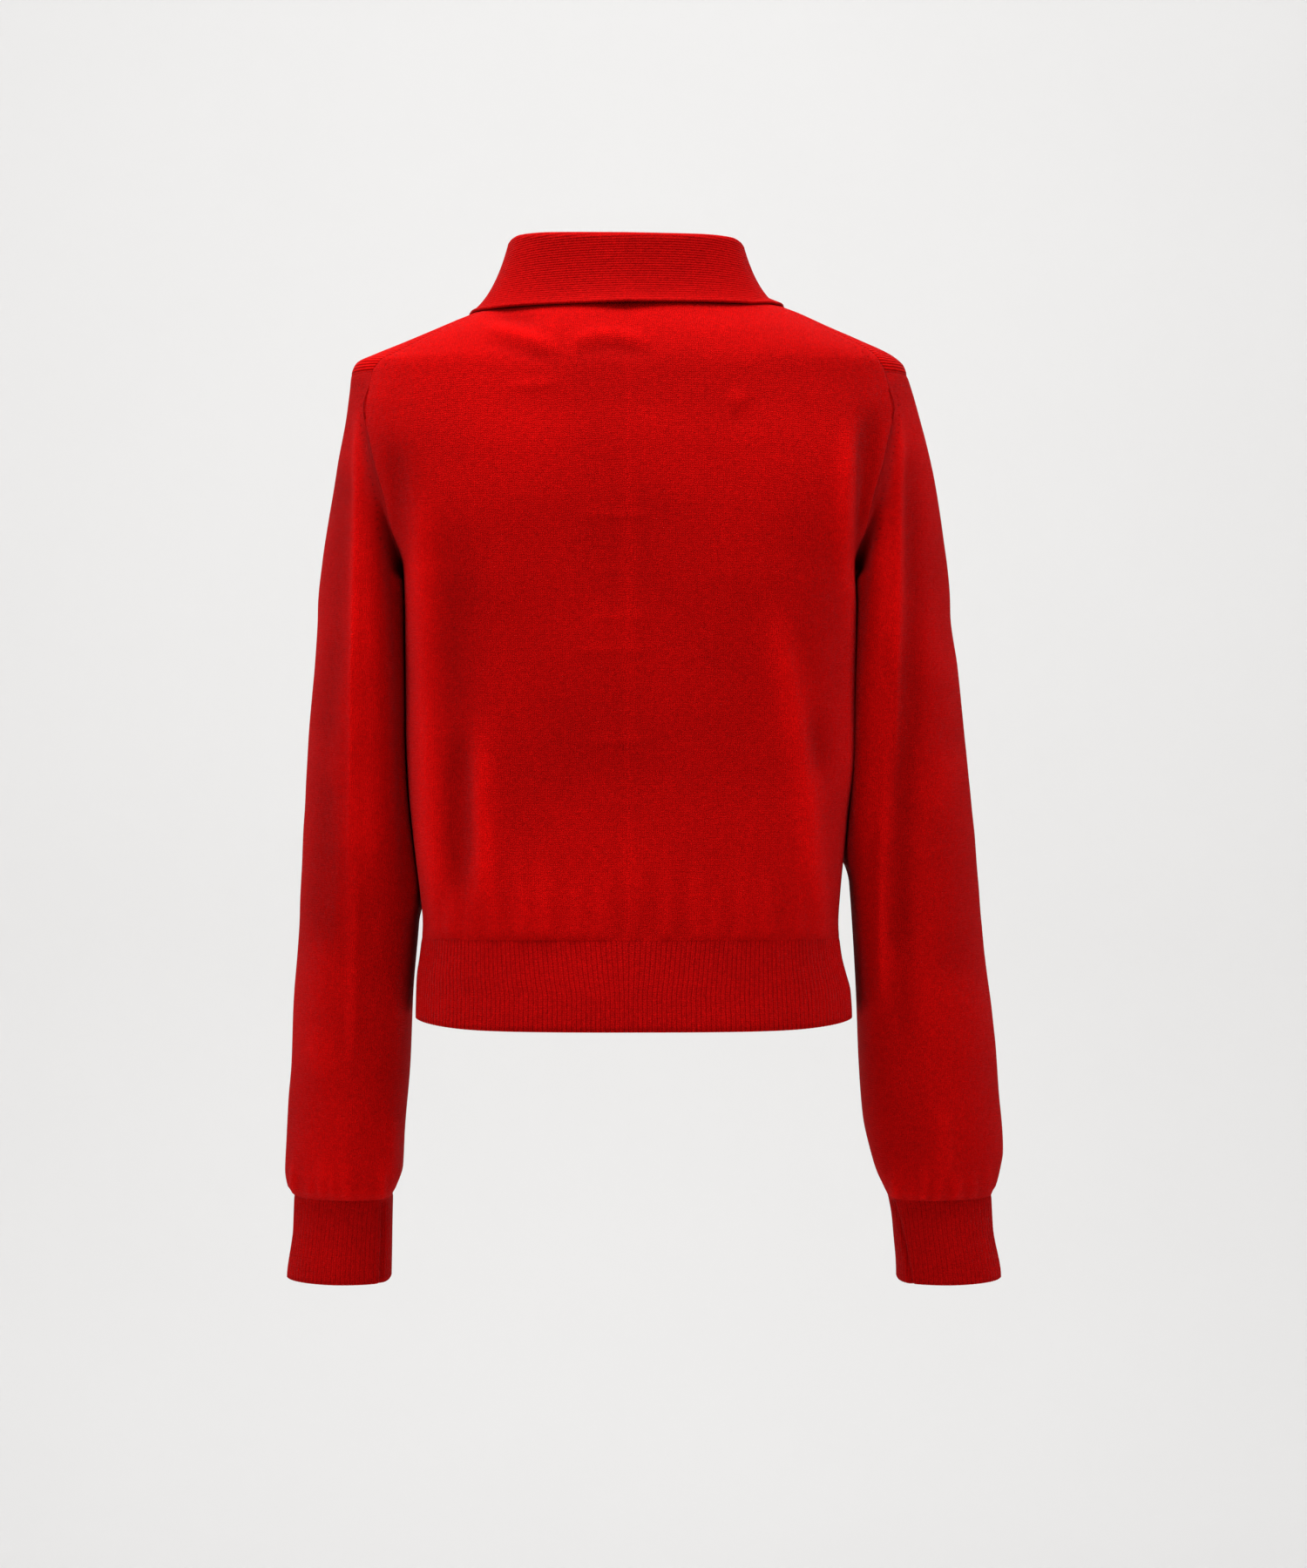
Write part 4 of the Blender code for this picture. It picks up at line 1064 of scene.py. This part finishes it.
def sleeve_head(side, ring, angles):
    """The rows from the armhole down to the sleeve's first level ring."""
    fall = ring[:, 2] - CAP_TOP_Z
    reach = mix(UNDERARM_REACH, CAP_REACH[side], fall / (SHOULDER_Z - CAP_TOP_Z))
    zero = np.zeros_like(fall)
    leaving = np.stack([side * reach, zero, -fall * CAP_STEEPNESS], axis=-1)
    arriving = np.stack([zero, zero, -fall], axis=-1)
    s = np.linspace(0.0, 1.0, CAP_ROWS + 1)[:, None, None]
    return hermite(ring, leaving, sleeve_point(side, angles, CAP_TOP_Z), arriving, s)


def make_sleeve(side, name, material):
    ring, angles = sleeve_ring(side)
    z = np.linspace(CAP_TOP_Z, CUFF_TOP_Z, SLEEVE_ROWS + 1)[1:, None]
    grid = np.concatenate([sleeve_head(side, ring, angles), sleeve_point(side, angles, z)])
    head = CAP_ROWS + HEAD_BELOW_CAP
    share = smooth((head - np.arange(head)) / HEAD_EASE_ROWS)[:, None]
    share = share * smooth(np.abs(angles) / HEAD_EASE_TURN)
    grid[:head] = mix(grid[:head], evened(grid[:head], HEAD_EVENING), share[..., None])
    grid = resting(grid, angles, side)
    across = run(grid, axis=1)
    outermost = int(np.argmin(np.abs(angles)))
    across -= across[:, outermost : outermost + 1]
    piece = Piece()
    piece.add(grid, np.stack([across, run(grid[::-1])[::-1]], axis=-1), flip=side < 0)
    sewn(piece.weld(), [(ring, FASHIONED), (cuff_line(side), LINKED)], sleeve_creases(side))
    return piece.mesh(name, PANEL_WALL, material)


def make_cuff(side, name, material):
    middle, height = (CUFF_TOP_Z + CUFF_BOTTOM_Z) / 2.0, CUFF_TOP_Z - CUFF_BOTTOM_Z
    turns, ribs = rib_columns(180.0, -180.0, lambda turn: sleeve_point(side, turn, middle))
    z = np.linspace(CUFF_TOP_Z, CUFF_BOTTOM_Z, CUFF_ROWS + 1)[:, None]
    piece = Piece()
    piece.add(sleeve_point(side, turns, z), pairs(ribs * RIB_PITCH, z - CUFF_BOTTOM_Z), flip=side < 0)
    x, y, levels = piece.weld().points.T
    table = SLEEVE_TABLES[side]
    below_top = height - piece.corner_values(1)
    fold_away = mix(*CUFF_FOLD_AWAY[side], below_top / height)
    from_fold = side * (x - side * table.at("inner", levels)) - fold_away
    fold = np.exp(-((from_fold / CUFF_FOLD_WIDTH) ** 2)) * (y > table.at("middle_y", levels))

    def heights_at(points):
        return swelling(points, CUFF_SWELLS[side]) - CUFF_FOLD_DEPTH * fold

    sewn(piece, [(cuff_line(side), LINKED)], heights_at)
    piece.add_ribs(CUFF_RIB_HEIGHT, below_top)
    return piece.mesh(name, RIB_WALL, material)


# ---- the collar


def collar_line(name, side, share):
    """The collar's fold or edge, which both run a little off the level."""
    x, y, z = (COLLAR_TABLE.at(f"{name}_{axis}", share) for axis in "xyz")
    x = side * x + COLLAR_SHIFT
    return np.stack([x, y, z + COLLAR_TILT[name] * x], axis=-1)


def collar_half(side, body):
    """Half the collar's hidden side: rows from the neckline to the free edge."""
    share = np.linspace(0.0, 1.0, COLLAR_HALF_COLUMNS + 1)
    bases = neckline(side)
    base = np.stack([evenly(bases[:, k], bases, COLLAR_HALF_COLUMNS) for k in range(3)], axis=-1)
    fold, edge = collar_line("fold", side, share), collar_line("edge", side, share)
    out = unit((edge - fold) * (1.0, 1.0, 0.0))
    up = np.array([0.0, 0.0, 1.0])
    centre = fold - up * COLLAR_FOLD_RADIUS
    stand_top = centre - out * COLLAR_FOLD_RADIUS
    rows = [mix(base, stand_top, s) for s in np.linspace(0.0, 1.0, COLLAR_STAND_ROWS + 1)[:-1]]
    for turn in np.linspace(0.0, math.pi, COLLAR_FOLD_ROWS + 1):
        rows.append(centre + (up * math.sin(turn) - out * math.cos(turn)) * COLLAR_FOLD_RADIUS)
    start = rows[-1]
    sag = COLLAR_TABLE.at("sag", share)[:, None]
    middle = (start + edge) / 2.0 - (out * COLLAR_SAG_INWARDS + up) * sag
    for s in np.linspace(0.0, 1.0, COLLAR_FALL_ROWS + 1)[1:]:
        place = mix(mix(start, middle, s), mix(middle, edge, s), s)
        rows.append(np.array([lifted_off(point, body) for point in place]))
    return np.array(rows)


def lifted_off(point, body):
    """The point, or where it would lie too near the body, clear of it."""
    place, normal, _, _ = body.find_nearest(Vector(point))
    height = (Vector(point) - place).dot(normal)
    if height >= COLLAR_OFF_BODY:
        return point
    return np.array(Vector(point) + normal * (COLLAR_OFF_BODY - height))


def tree_of(pieces):
    starts = np.cumsum([0] + [len(piece.points) for piece in pieces])
    points = np.concatenate([piece.points for piece in pieces])
    faces = np.concatenate([piece.faces + start for piece, start in zip(pieces, starts)])
    return BVHTree.FromPolygons(points.tolist(), faces.tolist())


def make_collar(pieces, material):
    body = tree_of(pieces)
    grid = np.concatenate([collar_half(1, body), collar_half(-1, body)[:, -2::-1]], axis=1)
    piece = Piece()
    piece.add(grid, pairs(run(grid[-1]), run(grid[::-1])[::-1]))
    sewn(piece.weld(), [])
    return piece.mesh("collar_knit", COLLAR_WALL, material)


# ---- the placket


def make_placket(name, lift, groove, material):
    top = float(front_half(1)[-1, 0, 1])
    grid, knit = middle_grid(np.linspace(UNDERARM_Z, top, PLACKET_ROWS + 1), PLACKET_COLUMNS)
    piece = Piece()
    piece.add(grid, knit)
    edges = [(line, SEWN) for line in (grid[:, 0], grid[:, -1], grid[0], grid[-1])]
    sewn(piece.weld(), edges, None, groove)
    piece.points += piece.normals() * lift
    return piece.mesh(name, PLACKET_WALL, material)


# ---- the buttons

BUTTON_SIDES = 48
BUTTON_HOLE_SIDES = 16
BUTTON_HOLE_RADIUS = 0.75
BUTTON_HOLE_OUT = 1.45  # from the button's middle
THREAD_SIDES = 8
THREAD_RADIUS = 0.32
THREAD_APART = 0.28  # each strand's distance from the line between two holes

# A button's profile from the middle of its back to that of its face: shares of its radius and
# of half its thickness.
BUTTON_PROFILE = (
    (0.0, -1.0),
    (0.80, -1.0),
    (0.95, -0.6),
    (1.0, 0.0),
    (0.97, 0.6),
    (0.88, 1.0),
    (0.74, 0.92),
    (0.62, 0.45),
    (0.50, 0.35),
    (0.0, 0.32),
)


def disc(radius, sides, height=0.0):
    """A ring of points about +Z, or its middle alone where the radius is nought."""
    turns = np.linspace(0.0, 2.0 * math.pi, sides if radius else 1, endpoint=False)
    return [Vector((radius * math.cos(t), radius * math.sin(t), height)) for t in turns]


def add_skin(mesh, rings):
    """Adds the surface through rings of points, which ends in a tip at a ring of one point."""
    rings = [[mesh.verts.new(point * MM) for point in ring] for ring in rings]
    for low, high in zip(rings, rings[1:]):
        sides = max(len(low), len(high))
        for i in range(sides):
            j = (i + 1) % sides
            quad = (low[i % len(low)], low[j % len(low)], high[j % len(high)], high[i % len(high)])
            mesh.faces.new(list(dict.fromkeys(quad)))
    return rings


def data_of(mesh, name):
    data = bpy.data.meshes.new(name)
    mesh.to_mesh(data)
    mesh.free()
    return data


def button_mesh(radius, thickness, material):
    """A four-hole button about its own middle, facing +Z, in metres."""
    mesh, cutters = bmesh.new(), bmesh.new()
    half = thickness / 2.0
    add_skin(mesh, [disc(radius * r, BUTTON_SIDES, half * h) for r, h in BUTTON_PROFILE])
    for k in range(4):
        turn = math.pi / 4.0 + k * math.pi / 2.0
        place = Vector((math.cos(turn), math.sin(turn), 0.0)) * BUTTON_HOLE_OUT * MM
        bmesh.ops.create_cone(
            cutters,
            cap_ends=True,
            segments=BUTTON_HOLE_SIDES,
            radius1=BUTTON_HOLE_RADIUS * MM,
            radius2=BUTTON_HOLE_RADIUS * MM,
            depth=thickness * 3.0 * MM,
            matrix=Matrix.Translation(place),
        )
    blank = add_object("button_blank", data_of(mesh, "button_blank"))
    cutter = add_object("button_cutter", data_of(cutters, "button_cutter"))
    cut = blank.modifiers.new("holes", "BOOLEAN")
    cut.operation = "DIFFERENCE"
    cut.object = cutter
    graph = bpy.context.evaluated_depsgraph_get()
    made = bpy.data.meshes.new_from_object(blank.evaluated_get(graph))
    made.name = "button"
    bpy.data.objects.remove(blank)
    bpy.data.objects.remove(cutter)
    made.materials.clear()
    made.materials.append(material)
    made.shade_smooth()
    made.set_sharp_from_angle(angle=math.radians(40.0))
    return made


def thread_mesh(thickness, material):
    """Two strands of thread across each two of the button's holes, in metres."""
    mesh = bmesh.new()
    side = BUTTON_HOLE_OUT * math.sqrt(0.5)
    top = thickness * 0.16 + THREAD_RADIUS * 1.2
    low = -thickness * 0.4
    bends = ((-1.0, low), (-0.92, top * 0.7), (-0.45, top), (0.45, top), (0.92, top * 0.7), (1.0, low))
    for y in (-side - THREAD_APART, -side + THREAD_APART, side - THREAD_APART, side + THREAD_APART):
        path = [Vector((side * share, y, height)) for share, height in bends]
        rings = []
        for i, place in enumerate(path):
            ahead = path[min(i + 1, len(path) - 1)] - path[max(i - 1, 0)]
            turn = ahead.to_track_quat("Z", "Y")
            rings.append([place + turn @ point for point in disc(THREAD_RADIUS, THREAD_SIDES)])
        rings = add_skin(mesh, rings)
        mesh.faces.new(rings[0][::-1])
        mesh.faces.new(rings[-1])
    data = data_of(mesh, "button_thread")
    data.shade_smooth()
    data.materials.append(material)
    return data


def make_buttons(button, thread):
    """The three buttons, where the CAD has them, square to the placket."""
    made, meshes = [], {}
    for node in ("button_1", "button_2", "button_3"):
        low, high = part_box(node)
        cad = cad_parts[node].data
        # The button's axis is the normal of its largest faces.
        face = max(cad.polygons, key=lambda p: p.area * (p.normal.y < 0.0))
        alike = [p.normal * p.area for p in cad.polygons if p.normal.dot(face.normal) > 0.98]
        axis = sum(alike, Vector()).normalized()
        if not meshes:
            flat = [v.co.dot(axis) for v in cad.vertices]
            thickness = (max(flat) - min(flat)) / MM
            meshes["four_hole"] = button_mesh((high.x - low.x) / 2.0 / MM, thickness, button)
            meshes["thread"] = thread_mesh(thickness, thread)
        turn = axis.to_track_quat("Z", "Y").to_matrix().to_4x4()
        for word, data in meshes.items():
            o = add_object(f"{node}_{word}", data)
            o.matrix_world = Matrix.Translation((low + high) / 2.0) @ turn
            made.append((o, node))
    return made


# ---- materials

# Colours, linear
RED = (0.368, 0.0012, 0.0010)
# The rib's red and the collar's and cuffs' red are RED in the same yarn, painted darker as shade of their
# close rows.
RIB_RED = (0.343, 0.0013, 0.0013)
SHADED_RED = (0.308, 0.0012, 0.0012)
BUTTON_RED = (0.280, 0.0012, 0.0014)
THREAD_RED = (0.370, 0.0014, 0.0014)
FUZZ = (1.0, 0.32, 0.36, 1.0)
PAPER = (0.80, 0.794, 0.788)

# The cloth's noises: how fine each is, its detail, how far it lightens and darkens the colour,
# and how far it stands out in the relief, where a stitch is 1.
NOISES = {
    "slow": (12.0, 2.0, 0.16, 0.0),
    "fuzz": (330.0, 3.0, 0.45, 1.4),
    "yarn": (1100.0, 2.0, 1.0, 0.8),
}
STITCH_SHADE = (0.26, 0.84)  # how much lighter a stitch's top is, and the shade beside it
MARK_SHADE = 0.5
MARK_DEPTH = 1.5
SEAM_SHADE = 0.4
RELIEF_HEIGHT = 0.0006  # metres
RELIEF_STRENGTH = 0.8

# How the stitches wander: how fine each noise is, its detail, and how far it moves them, across
# in millimetres and up in stitches.
WANDER_ACROSS = (140.0, 3.0, 3.2)
WANDER_UP = (260.0, 2.0, 1.8)
LEG_SLANT = 1.15
LEG_ROUNDNESS = 0.7

# How much darker the furrows are, by kind of knitting.
FURROW_SHADE = {"plain": 0.42, "rib": 0.34, "cuff": 0.2, "collar": 0.0}
CREASE_LIGHT_SHADE = 0.12  # painted light and shade: how much lighter a crease's ridge is painted, and its hollow darker, for each millimetre that it stands up or sinks
CREASE_LIGHT_LIMITS = (0.75, 1.45)  # the darkest and lightest that this painted shade and light gets


class Nodes:
    """A material's nodes, with sums written as calls."""

    def __init__(self, name):
        self.material = bpy.data.materials.new(name)
        self.material.use_nodes = True
        self.tree = self.material.node_tree
        self.shader = self.tree.nodes["Principled BSDF"]

    def link(self, value, socket):
        if isinstance(value, bpy.types.NodeSocket):
            self.tree.links.new(value, socket)
        else:
            socket.default_value = value

    def give(self, **values):
        """Sets the shader's inputs, whose names have underscores for spaces here."""
        for name, value in values.items():
            self.link(value, self.shader.inputs[name.replace("_", " ")])

    def sum(self, operation, *values):
        node = self.tree.nodes.new("ShaderNodeMath")
        node.operation = operation
        for value, socket in zip(values, node.inputs):
            self.link(value, socket)
        return node.outputs[0]

    def attribute(self, name):
        node = self.tree.nodes.new("ShaderNodeAttribute")
        node.attribute_name = name
        split = self.tree.nodes.new("ShaderNodeSeparateXYZ")
        self.tree.links.new(node.outputs["Vector"], split.inputs[0])
        return split.outputs

    def number(self, name):
        node = self.tree.nodes.new("ShaderNodeAttribute")
        node.attribute_name = name
        return node.outputs["Fac"]

    def noise(self, scale, detail):
        node = self.tree.nodes.new("ShaderNodeTexNoise")
        node.inputs["Scale"].default_value = scale
        node.inputs["Detail"].default_value = detail
        place = self.tree.nodes.new("ShaderNodeTexCoord")
        self.tree.links.new(place.outputs["Object"], node.inputs["Vector"])
        return node.outputs["Fac"]

    def colour(self, colour, brightness):
        """A colour made lighter and darker by a number."""
        node = self.tree.nodes.new("ShaderNodeVectorMath")
        node.operation = "SCALE"
        node.inputs[0].default_value = colour
        self.link(brightness, node.inputs["Scale"])
        return node.outputs[0]

    def bump(self, height, distance, strength):
        node = self.tree.nodes.new("ShaderNodeBump")
        node.inputs["Distance"].default_value = distance
        node.inputs["Strength"].default_value = strength
        self.link(height, node.inputs["Height"])
        return node.outputs[0]

    def mix(self, low, high, share):
        """low where the share is 0 and high where it is 1."""
        return self.sum("MULTIPLY_ADD", self.sum("SUBTRACT", high, low), share, low)

    def wave(self, value, period):
        """A cosine of the given period, from 0 to 1."""
        turn = self.sum("MULTIPLY", value, 2.0 * math.pi / period)
        return self.sum("MULTIPLY_ADD", self.sum("COSINE", turn), 0.5, 0.5)

    def phase(self, value, period):
        """How far through its period a value is, from 0 to 1."""
        return self.sum("FRACT", self.sum("DIVIDE", value, period))

    def hump(self, value, centre, width):
        """1 at the centre, falling to 0 a width away."""
        away = self.sum("ABSOLUTE", self.sum("SUBTRACT", value, centre))
        fall = self.sum("SUBTRACT", 1.0, self.sum("DIVIDE", away, width))
        return self.sum("MAXIMUM", fall, 0.0)

    def shaded(self, shade, value, depth):
        """A shade lightened and darkened by a value from 0 to 1, as far as the depth says."""
        return self.sum("MULTIPLY", shade, self.sum("MULTIPLY_ADD", value, depth, 1.0 - depth / 2.0))

    def stirred(self, value, scale, detail, reach):
        """A value moved up by a noise, as far as the reach."""
        return self.sum("MULTIPLY_ADD", self.noise(scale, detail), reach, value)

    def darkened(self, shade, value, depth):
        return self.sum("MULTIPLY", shade, self.sum("MULTIPLY_ADD", value, -depth, 1.0))


def stitches(nodes, across, up, wale):
    """The height of plain knitting: two slanting legs to each stitch, none quite in line."""
    across = nodes.stirred(across, *WANDER_ACROSS)
    off = nodes.sum("ABSOLUTE", nodes.sum("SUBTRACT", nodes.phase(across, wale), 0.5))
    row = nodes.stirred(nodes.sum("DIVIDE", up, COURSE), *WANDER_UP)
    slanted = nodes.sum("SUBTRACT", row, nodes.sum("MULTIPLY", off, LEG_SLANT))
    leg = nodes.sum("SINE", nodes.sum("MULTIPLY", off, 2.0 * math.pi))
    leg = nodes.sum("POWER", nodes.sum("MAXIMUM", leg, 0.0), LEG_ROUNDNESS)
    return nodes.sum("MULTIPLY", leg, nodes.sum("MULTIPLY_ADD", nodes.wave(slanted, 1.0), 0.55, 0.45))


def knit_relief(nodes, kind):
    """The height of the stitches of one kind of knitting, and its furrows from 0 to 1."""
    across, up, strap = nodes.attribute("knit")
    if kind == "collar":
        ridge = nodes.sum("POWER", nodes.wave(up, COLLAR_RIDGE), 0.8)
        tooth = nodes.wave(across, WALE)
        return nodes.sum("MULTIPLY", ridge, nodes.sum("MULTIPLY_ADD", tooth, 0.3, 0.4)), 0.0
    if kind in ("rib", "cuff"):
        furrow = nodes.hump(nodes.phase(across, RIB_PITCH), 0.5, 0.2)
        return stitches(nodes, across, up, RIB_PITCH), furrow
    ridge = nodes.wave(up, STRAP_RIDGE)
    furrow = nodes.sum("MULTIPLY", nodes.hump(ridge, 0.0, 0.4), strap)
    return nodes.mix(stitches(nodes, across, up, WALE), ridge, strap), furrow


def knit_material(name, colour, kind):
    """Fine fuzzy knitting of one kind: plain, rib, cuff or collar."""
    nodes = Nodes(name)
    away, along, seam_kind = nodes.attribute("seam")
    height, furrow = knit_relief(nodes, kind)
    dots = nodes.hump(nodes.phase(along, MARK_PITCH), 0.5, 0.22)
    marks = nodes.sum("MULTIPLY", nodes.hump(away, MARK_AWAY, 1.3), dots)
    marks = nodes.sum("MULTIPLY", marks, nodes.sum("MAXIMUM", seam_kind, 0.0))
    seam = nodes.sum("MULTIPLY", nodes.hump(away, 0.0, 0.8), nodes.sum("GREATER_THAN", seam_kind, -0.5))
    shade = nodes.sum("MULTIPLY_ADD", height, *STITCH_SHADE)
    relief = nodes.sum("MULTIPLY_ADD", marks, -MARK_DEPTH, height)
    for scale, detail, depth, lift in NOISES.values():
        value = nodes.noise(scale, detail)
        shade = nodes.shaded(shade, value, depth)
        relief = nodes.sum("MULTIPLY_ADD", value, lift, relief)
    # Painted light and shade from the creases: ridges lighter, hollows darker.
    crease_lit = nodes.sum("MULTIPLY_ADD", nodes.number("crease_light"), CREASE_LIGHT_SHADE, 1.0)
    crease_lit = nodes.sum("MINIMUM", nodes.sum("MAXIMUM", crease_lit, CREASE_LIGHT_LIMITS[0]), CREASE_LIGHT_LIMITS[1])
    shade = nodes.sum("MULTIPLY", shade, crease_lit)
    for value, depth in ((marks, MARK_SHADE), (seam, SEAM_SHADE), (furrow, FURROW_SHADE[kind])):
        shade = nodes.darkened(shade, value, depth)
    nodes.give(Base_Color=nodes.colour(colour, shade))
    nodes.give(Normal=nodes.bump(relief, RELIEF_HEIGHT, RELIEF_STRENGTH))
    return cloth_like(nodes)


def cloth_like(nodes):
    nodes.give(Roughness=0.92, Specular_IOR_Level=0.02)
    nodes.give(Sheen_Weight=0.05, Sheen_Roughness=0.22, Sheen_Tint=FUZZ)
    return nodes.material


def button_material():
    nodes = Nodes("button")
    grain = nodes.noise(500.0, 2.0)
    nodes.give(Base_Color=nodes.colour(BUTTON_RED, nodes.shaded(1.0, grain, 0.2)))
    nodes.give(Roughness=0.42, Specular_IOR_Level=0.3, Normal=nodes.bump(grain, 0.0001, 0.2))
    return nodes.material


def thread_material():
    nodes = Nodes("thread")
    twist = nodes.noise(2500.0, 1.0)
    nodes.give(Base_Color=nodes.colour(THREAD_RED, nodes.shaded(1.0, twist, 0.4)))
    nodes.give(Normal=nodes.bump(twist, 0.0001, 0.5))
    return cloth_like(nodes)


def paper_material():
    nodes = Nodes("backdrop_paper")
    nodes.give(Base_Color=nodes.colour(PAPER, nodes.shaded(1.0, nodes.noise(3.0, 2.0), 0.02)))
    nodes.give(Roughness=0.95, Specular_IOR_Level=0.1)
    return nodes.material


# ---- camera, light, studio

SWEEP_DISTANCE = 4.4
SWEEP_DEPTH = -1.5
SWEEP_RADIUS = 0.9
SWEEP_WIDTH = 14.0
SWEEP_HEIGHT = 4.0
SWEEP_NEAR_END = 6.0
SWEEP_STEPS = 24

# Each light: its place, what it points at, its width and height, and its power.
LIGHTS = {
    "overhead": ((0.2, 0.4, 2.4), (0.0, 0.0, -0.1), (2.4, 1.6), 180.0),
    "camera_left": ((1.2, 3.4, 0.4), (0.0, 0.0, -0.4), (1.6, 2.0), 10.5),
    "camera_right": ((-1.2, 3.4, 0.4), (0.0, 0.0, -0.4), (1.6, 2.0), 8.0),
    "left": ((2.7, 1.1, 1.2), (0.0, 0.0, -0.3), (2.0, 2.0), 64.0),
    "right": ((-2.7, 1.1, 1.2), (0.0, 0.0, -0.3), (2.0, 2.0), 48.0),
    "behind": ((0.0, -2.2, 1.8), (0.0, 0.0, -0.3), (2.4, 2.0), 12.0),
    "backdrop": ((0.0, -2.6, 2.6), (0.0, -SWEEP_DISTANCE, -0.3), (5.0, 1.0), 31.0),
}


def add_camera():
    data = bpy.data.cameras.new("camera")
    data.sensor_fit = "VERTICAL"
    data.sensor_height = 36.0
    data.sensor_width = 30.0
    data.lens = data.sensor_height * CAMERA[1] / FRAME_HEIGHT
    camera = add_object("camera", data)
    camera.location = Vector(CAMERA) * MM
    camera.rotation_euler = (math.radians(90.0), 0.0, math.radians(180.0))
    bpy.context.scene.camera = camera


def add_studio():
    world = bpy.data.worlds.new("studio")
    world.use_nodes = True
    background = world.node_tree.nodes["Background"]
    background.inputs["Color"].default_value = (1.0, 1.0, 1.0, 1.0)
    background.inputs["Strength"].default_value = 0.12
    bpy.context.scene.world = world
    bpy.context.scene.view_settings.view_transform = "Standard"
    for name, (place, target, size, power) in LIGHTS.items():
        data = bpy.data.lights.new(name, "AREA")
        data.shape = "RECTANGLE"
        data.size, data.size_y = size
        data.energy = power
        light = add_object(name, data)
        light.location = place
        light.rotation_euler = (Vector(target) - Vector(place)).to_track_quat("-Z", "Y").to_euler()


def add_sweep():
    """A pale floor that curves up into the backdrop, on the far side from the camera."""
    profile = [(SWEEP_NEAR_END, SWEEP_DEPTH)]
    for turn in np.linspace(0.0, math.pi / 2.0, SWEEP_STEPS + 1):
        y = -SWEEP_DISTANCE + SWEEP_RADIUS * (1.0 - math.sin(turn))
        profile.append((y, SWEEP_DEPTH + SWEEP_RADIUS * (1.0 - math.cos(turn))))
    profile.append((-SWEEP_DISTANCE, SWEEP_HEIGHT))
    half = SWEEP_WIDTH / 2.0
    points = [(x, y, z) for y, z in profile for x in (-half, half)]
    faces = [(2 * i, 2 * i + 1, 2 * i + 3, 2 * i + 2) for i in range(len(profile) - 1)]
    data = bpy.data.meshes.new("sweep")
    data.from_pydata(points, [], faces)
    data.shade_smooth()
    data.materials.append(paper_material())
    add_object("sweep", data)


# ---- the whole shirt


# The placket's layers: the CAD node, the name, how far each lies over the front, and how deep
# its edges are drawn down.
PLACKETS = (
    ("placket_under", "placket_lower_layer", 0.0, 0.2),
    ("placket_over", "placket_upper_layer", PANEL_WALL + 0.35, 0.5),
)


def settle(o, node):
    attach(o, "root")
    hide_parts(node)


def build():
    add_camera()
    add_studio()
    add_sweep()
    knit = knit_material("knit", RED, "plain")
    rib = knit_material("rib_knit", RIB_RED, "rib")
    cuff_knit = knit_material("cuff_knit", SHADED_RED, "cuff")
    collar_knit = knit_material("collar_knit", SHADED_RED, "collar")
    button, thread = button_material(), thread_material()

    back, back_mesh = make_back(knit)
    front, front_mesh = make_front(knit)
    sheets = [
        ("back", back_mesh, "knit"),
        ("front", front_mesh, "knit"),
        ("hem_rib_back", make_rib("hem_rib_back_knit", 0.0, 180.0, rib), "rib"),
        ("hem_rib_front", make_rib("hem_rib_front_knit", -180.0, 0.0, rib), "rib"),
    ]
    for side, word in ((1, "left"), (-1, "right")):
        sleeve = make_sleeve(side, f"sleeve_{word}_knit", knit)
        cuff = make_cuff(side, f"cuff_{word}_knit", cuff_knit)
        sheets += [(f"sleeve_{word}", sleeve, "knit"), (f"cuff_{word}", cuff, "rib")]
    sheets.append(("collar", make_collar([back, front], collar_knit), "rib"))
    for node, name, lift, groove in PLACKETS:
        sheets.append((node, make_placket(name, lift, groove, knit), "knit"))
    buttons = make_buttons(button, thread)
    for o, node in buttons:
        settle(o, node)
    for node, o, slot in sheets:
        settle(o, node)


build()
